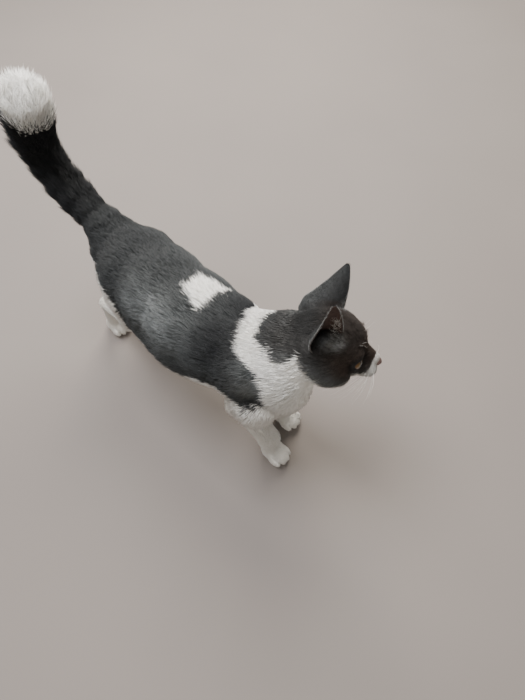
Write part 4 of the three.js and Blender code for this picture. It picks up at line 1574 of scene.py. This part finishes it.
def join(tree: bpy.types.NodeTree, node: bpy.types.Node, inputs: dict[str | int, object]) -> None:
    """Fill a node's input sockets.

    Args:
        tree: The material's node tree.
        node: The node.
        inputs: For each input socket, the socket to link to it, a hex colour or a plain value.
    """
    for name, value in inputs.items():
        if isinstance(value, bpy.types.NodeSocket):
            tree.links.new(value, node.inputs[name])
        else:
            node.inputs[name].default_value = linear(value) if isinstance(value, str) else value


def add(
    tree: bpy.types.NodeTree,
    kind: str,
    output: str | int,
    inputs: dict[str | int, object],
    **settings: object,
) -> bpy.types.NodeSocket:
    """Add a node to a material with its settings and links.

    Args:
        tree: The material's node tree.
        kind: The node's type, without the word ShaderNode.
        output: Which of its output sockets is wanted.
        inputs: What its input sockets get, as for join.
        settings: Values for its own properties.

    Returns:
        The output socket.
    """
    node = tree.nodes.new("ShaderNode" + kind)
    for name, value in settings.items():
        setattr(node, name, value)
    join(tree, node, inputs)
    return node.outputs[output]


def new_material(name: str) -> tuple[bpy.types.Material, bpy.types.NodeTree, bpy.types.Node]:
    """Make a material.

    Args:
        name: Its name.

    Returns:
        The material, its tree and its one principled shader.
    """
    material = bpy.data.materials.new(name)
    material.use_nodes = True
    tree = material.node_tree
    return material, tree, next(node for node in tree.nodes if node.type == "BSDF_PRINCIPLED")


@dataclass(frozen=True)
class ShorthairCoat:
    """Cat hair, keratin: plush and soft to the eye, with a low silky sheen and no hard highlight."""

    name: str
    is_hair: bool
    # each colour from the root, darkened there as painted shade, and the darker tufts picked at random, to
    # the tip and the lighter ones
    slate: tuple[str, str] = ("#1a1c1d", "#4e504f")
    pale_and_painted_light_slate: tuple[str, str] = ("#3f4342", "#929593")
    near_black_and_shade: tuple[str, str] = ("#0e0f10", "#272829")
    mask: tuple[str, str] = ("#1b1512", "#493e35")
    white: tuple[str, str] = ("#e6e1d6", "#fcfbf7")
    bare: tuple[str, str] = ("#1f1614", "#5d4a42")
    hair_ior: float = 1.55
    roughness: float = 0.68
    # the scales of a hair lie flat and oiled: a weak highlight, and a trace of sheen along the tips
    highlight: float = 0.16
    sheen: float = 0.03
    # the bands of single hairs and the down between them are too fine to show: both are drawn as coarse
    # as they need to show, the bands as clumps
    ticking_mm: float = 4.0
    down_mm: float = 0.9
    down_height_mm: float = 0.4

    def build(self) -> bpy.types.Material:
        """Return the finish, for the hair or for the skin that shows between it."""
        material, tree, shader = new_material(self.name)
        place = add(tree, "TexCoord", "Object", {})
        noise = {"Scale": 1000 / self.ticking_mm, "Detail": 3.0, "Vector": place}
        ticking = add(tree, "TexNoise", "Fac", noise)
        clamped = {"use_clamp": True, "operation": "MULTIPLY"}
        if self.is_hair:
            shade = add(tree, "Attribute", "Fac", {}, attribute_name="shade")
            along = add(tree, "Attribute", "Fac", {}, attribute_name="along")
            shade = add(tree, "Math", 0, {0: shade, 1: 0.55}, **clamped)
            # painted shade: each tuft darker towards its root, where the hairs shade each other
            along = add(tree, "Math", 0, {0: along, 1: 0.3}, **clamped)
            light = add(tree, "Math", 0, {0: shade, 1: along}, use_clamp=True, operation="ADD")
        else:
            light = add(tree, "Math", 0, {0: ticking, 1: 0.45}, **clamped)
        ticked = add(tree, "Math", 0, {0: ticking, 1: 0.22}, **clamped)
        light = add(tree, "Math", 0, {0: light, 1: ticked}, use_clamp=True, operation="ADD")
        coat = add(tree, "Mix", 2, {0: light, 6: self.slate[0], 7: self.slate[1]}, data_type="RGBA")
        # the pale layer is mostly painted light, and the dark layer holds the tail's near black together with
        # painted shade
        layers = {"pale": self.pale_and_painted_light_slate, "mask": self.mask, "dusk": self.near_black_and_shade, "white": self.white}
        if not self.is_hair:
            layers["bare"] = self.bare
            down = {"Scale": 1000 / self.down_mm, "Detail": 2.0, "Vector": place}
            height = add(tree, "TexNoise", "Fac", down)
            bump = {"Strength": 0.5, "Distance": self.down_height_mm / 1000, "Height": height}
            join(tree, shader, {"Normal": add(tree, "Bump", "Normal", bump)})
        for name, (dark, pale) in layers.items():
            share = add(tree, "Attribute", "Fac", {}, attribute_name=name)
            tone = {0: ticking if name == "bare" else light, 6: dark, 7: pale}
            layer = add(tree, "Mix", 2, tone, data_type="RGBA")
            coat = add(tree, "Mix", 2, {0: share, 6: coat, 7: layer}, data_type="RGBA")
        join(tree, shader, {"Base Color": coat, "Roughness": self.roughness, "IOR": self.hair_ior})
        sheen = {"Sheen Weight": self.sheen, "Sheen Roughness": 0.45}
        join(tree, shader, {"Specular IOR Level": self.highlight, **sheen})
        return material


@dataclass(frozen=True)
class AmberEye:
    """A cat's eye: an amber iris of radial fibres, an upright pupil, and a wet cornea that shines."""

    iris: tuple[str, str] = ("#33210d", "#755123")
    inner_ring: str = "#5a5226"
    rim: str = "#1a0f08"
    pupil: str = "#050505"
    iris_mm: float = 8.6
    rim_mm: float = 1.6
    inner_mm: tuple[float, float] = (5.2, 2.6)
    pupil_mm: tuple[float, float] = (2.1, 5.2)
    fibre_mm: float = 0.35
    wet_roughness: float = 0.03
    tear_ior: float = 1.376

    def build(self) -> bpy.types.Material:
        """Return the finish of the eyeball."""
        material, tree, shader = new_material("cat_eye_amber_wet")
        across, up = (add(tree, "Attribute", "Fac", {}, attribute_name=name) for name in ("iris_x", "iris_y"))
        flat = add(tree, "CombineXYZ", 0, {0: across, 1: up})
        radius = add(tree, "VectorMath", "Value", {0: flat}, operation="LENGTH")
        around = add(tree, "VectorMath", "Vector", {0: flat}, operation="NORMALIZE")
        noise = {"Scale": self.iris_mm * 0.15 / self.fibre_mm, "Detail": 4.0, "Roughness": 0.7}
        fibres = add(tree, "TexNoise", "Fac", {"Vector": around, **noise})
        fibres = {"Value": fibres, "From Min": 0.35, "From Max": 0.68}
        fibres = add(tree, "MapRange", "Result", fibres)
        per_mm = (1 / self.pupil_mm[0], 1 / self.pupil_mm[1], 0)
        oval = add(tree, "VectorMath", "Vector", {0: flat, 1: per_mm}, operation="MULTIPLY")
        oval = add(tree, "VectorMath", "Value", {0: oval}, operation="LENGTH")
        colour = add(tree, "Mix", 2, {0: fibres, 6: self.iris[0], 7: self.iris[1]}, data_type="RGBA")
        layers = (
            (radius, *self.inner_mm, self.inner_ring),
            (radius, self.iris_mm - self.rim_mm, self.iris_mm, self.rim),
            (oval, 1.08, 0.94, self.pupil),
        )
        for value, start, end, tone in layers:
            limits = {"Value": value, "From Min": start, "From Max": end}
            share = add(tree, "MapRange", "Result", limits, interpolation_type="SMOOTHSTEP")
            colour = add(tree, "Mix", 2, {0: share, 6: colour, 7: tone}, data_type="RGBA")
        join(tree, shader, {"Base Color": colour, "Roughness": 0.25, "IOR": self.tear_ior})
        join(tree, shader, {"Coat Weight": 1.0, "Coat Roughness": self.wet_roughness})
        return material


@dataclass(frozen=True)
class NoseLeather:
    """Bare nose skin: fine pebbled, dusky pink, slightly moist, with painted shade near black in the nostrils
    and along the groove.
    """

    skin: tuple[str, str] = ("#40322e", "#6d574f")
    # painted shade for the nostrils and the groove
    deep: str = "#120b0a"
    pebble_mm: float = 0.45
    pebble_height_mm: float = 0.2
    blotch_mm: float = 1000 / 350
    roughness: float = 0.42
    skin_ior: float = 1.42

    def build(self) -> bpy.types.Material:
        """Return the finish of the nose."""
        material, tree, shader = new_material("nose_leather_pebbled")
        place = add(tree, "TexCoord", "Object", {})
        pebbles = add(tree, "TexVoronoi", "Distance", {"Scale": 1000 / self.pebble_mm, "Vector": place})
        noise = {"Scale": 1000 / self.blotch_mm, "Detail": 3.0, "Vector": place}
        blotch = add(tree, "TexNoise", "Fac", noise)
        deep = add(tree, "Attribute", "Fac", {}, attribute_name="deep")
        skin = add(tree, "Mix", 2, {0: blotch, 6: self.skin[0], 7: self.skin[1]}, data_type="RGBA")
        # painted shade: the leather runs to near black as deep as the nostrils and the groove go
        colour = add(tree, "Mix", 2, {0: deep, 6: skin, 7: self.deep}, data_type="RGBA")
        bump = {"Strength": 0.35, "Distance": self.pebble_height_mm / 1000, "Height": pebbles}
        join(tree, shader, {"Base Color": colour, "Normal": add(tree, "Bump", "Normal", bump)})
        join(tree, shader, {"Roughness": self.roughness, "IOR": self.skin_ior})
        return material


@dataclass(frozen=True)
class Mottled:
    """A plain surface whose two near tones run into each other in soft blotches."""

    name: str
    tone: tuple[str, str]
    blotch_mm: float
    levels: dict[str, float]

    def build(self) -> bpy.types.Material:
        """Return the finish."""
        material, tree, shader = new_material(self.name)
        place = add(tree, "TexCoord", "Object", {})
        noise = {"Scale": 1000 / self.blotch_mm, "Detail": 2.0, "Vector": place}
        blotch = add(tree, "TexNoise", "Fac", noise)
        colour = add(tree, "Mix", 2, {0: blotch, 6: self.tone[0], 7: self.tone[1]}, data_type="RGBA")
        join(tree, shader, {"Base Color": colour, **self.levels})
        return material


# whiskers and ear wisps, keratin: stiff pale hairs, slightly glassy, a little yellow in streaks
WHISKER_LEVELS = {"Roughness": 0.35, "IOR": 1.55}
WHISKER_HAIR = Mottled("whisker_hair_pale", ("#d9d2c4", "#f7f5f0"), 1000 / 120, WHISKER_LEVELS)
# a matt painted floor: pale and even, with no shine of its own
MATT_FLOOR = Mottled("matt_floor_pale", ("#7d756f", "#867e77"), 1000 / 3, {"Roughness": 0.8})


@dataclass
class Cat:
    """The whole cat: skin, eyes, nose, whiskers and coat, each made and dressed in turn."""

    body: Body = field(default_factory=Body)

    def build(self) -> list[bpy.types.Object]:
        """Make and dress every piece and tie it to the model.

        Returns:
            The pieces made.
        """
        place = Placement.on_eyes(self.body)
        skin = Skin(self.body)
        markings = Markings(self.body)
        hide = skin.surface()
        hide.values.update(markings.values(hide.points))
        hide_piece = hide.build("skin", place, ShorthairCoat("underfur_and_skin", False).build())
        own_nodes = {"eye_right", "eye_left", "nose"}
        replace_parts(hide_piece, *[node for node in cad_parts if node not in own_nodes])
        pieces = [hide_piece]
        eye_finish = AmberEye().build()
        for side_name, side in SIDES.items():
            eye = Eye(self.body, side).surface().build(f"eyeball_{side_name}", place, eye_finish)
            pieces.append(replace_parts(eye, f"eye_{side_name}"))
        nose = Nose(self.body).surface().build("nose_leather", place, NoseLeather().build())
        pieces.append(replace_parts(nose, "nose"))
        pale = WHISKER_HAIR.build()
        whiskers = Whiskers(self.body, skin.ears)
        for name, surface in (("whiskers", whiskers.face_hairs()), ("ear_wisps", whiskers.ear_wisps())):
            pieces.append(surface.build(name, place, pale))
        pieces += Coat(skin, markings, place).build(ShorthairCoat("shorthair_coat", True).build())
        for piece in pieces:
            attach(piece, "root")
            LOG.info("%s: %d triangles", piece.name, len(piece.data.polygons))
        return pieces


@dataclass(frozen=True)
class Studio:
    """A pale floor, soft lights and the camera, which looks down on the cat from before its right side."""

    eye_point: tuple[float, float, float] = (322.24, -222.22, 753.40)
    azimuth: float = 130.5
    downward: float = 59.77
    roll: float = -0.32
    lens: float = 33.32
    floor_size: float = 8.0

    def build(self, place: Placement) -> None:
        """Make the floor, the lights and the camera.

        Args:
            place: Where the cat stands.
        """
        self.floor()
        self.lights()
        self.camera(place)

    def floor(self) -> None:
        """Lay the pale floor."""
        half = self.floor_size / 2
        mesh = bpy.data.meshes.new("floor")
        corners = [(-half, -half, 0), (half, -half, 0), (half, half, 0), (-half, half, 0)]
        mesh.from_pydata(corners, [], [(0, 1, 2, 3)])
        mesh.materials.append(MATT_FLOOR.build())
        linked("floor", mesh)

    def lights(self) -> None:
        """Set a wide window light over the far side and weaker ones round it."""
        aims = (
            ("window", (-0.9, 1.4, 1.8), 1.2, 85.0, "#fffaf2"),
            ("sky", (-0.8, -0.1, 2.3), 1.3, 92.0, "#fbfbff"),
            ("fill", (1.3, -1.6, 1.5), 1.8, 17.0, "#fff6ec"),
        )
        for name, where, size, power, colour in aims:
            data = bpy.data.lights.new(name, "AREA")
            data.size, data.energy, data.color = size, power, linear(colour)[:3]
            lamp = linked(name, data)
            lamp.location = where
            lamp.rotation_euler = (Vector((0, 0, 0.2)) - Vector(where)).to_track_quat("-Z", "Y").to_euler()
        world = bpy.data.worlds.new("soft_room")
        world.use_nodes = True
        background = next(node for node in world.node_tree.nodes if node.type == "BACKGROUND")
        background.inputs["Color"].default_value = linear("#e8ebee")
        background.inputs["Strength"].default_value = 0.3
        bpy.context.scene.world = world

    def camera(self, place: Placement) -> None:
        """Set the camera at its viewing angle.

        Args:
            place: Where the cat stands.
        """
        azimuth, down, roll = (math.radians(angle) for angle in (self.azimuth, self.downward, self.roll))
        level_way = Vector((math.cos(azimuth), math.sin(azimuth), 0))
        forward = math.cos(down) * level_way - Vector((0, 0, math.sin(down)))
        level = Vector((math.sin(azimuth), -math.cos(azimuth), 0))
        upright = level.cross(forward)
        right = level * math.cos(roll) + upright * math.sin(roll)
        above = upright * math.cos(roll) - level * math.sin(roll)
        data = bpy.data.cameras.new("camera")
        data.sensor_fit, data.sensor_width, data.lens = "HORIZONTAL", 36.0, self.lens
        camera = linked("camera", data)
        turn = Matrix((right, above, -forward)).transposed().to_4x4()
        camera.matrix_world = Matrix.Translation(Vector(place.metres(np.array(self.eye_point)))) @ turn
        bpy.context.scene.camera = camera


def main() -> None:
    """Build the cat and its studio."""
    logging.basicConfig(level=logging.INFO, format="%(message)s")
    cat = Cat()
    Studio().build(Placement.on_eyes(cat.body))
    pieces = cat.build()
    LOG.info("%d pieces, %d triangles", len(pieces), sum(len(piece.data.polygons) for piece in pieces))
    bpy.context.view_layer.update()


if __name__ == "__main__":
    main()
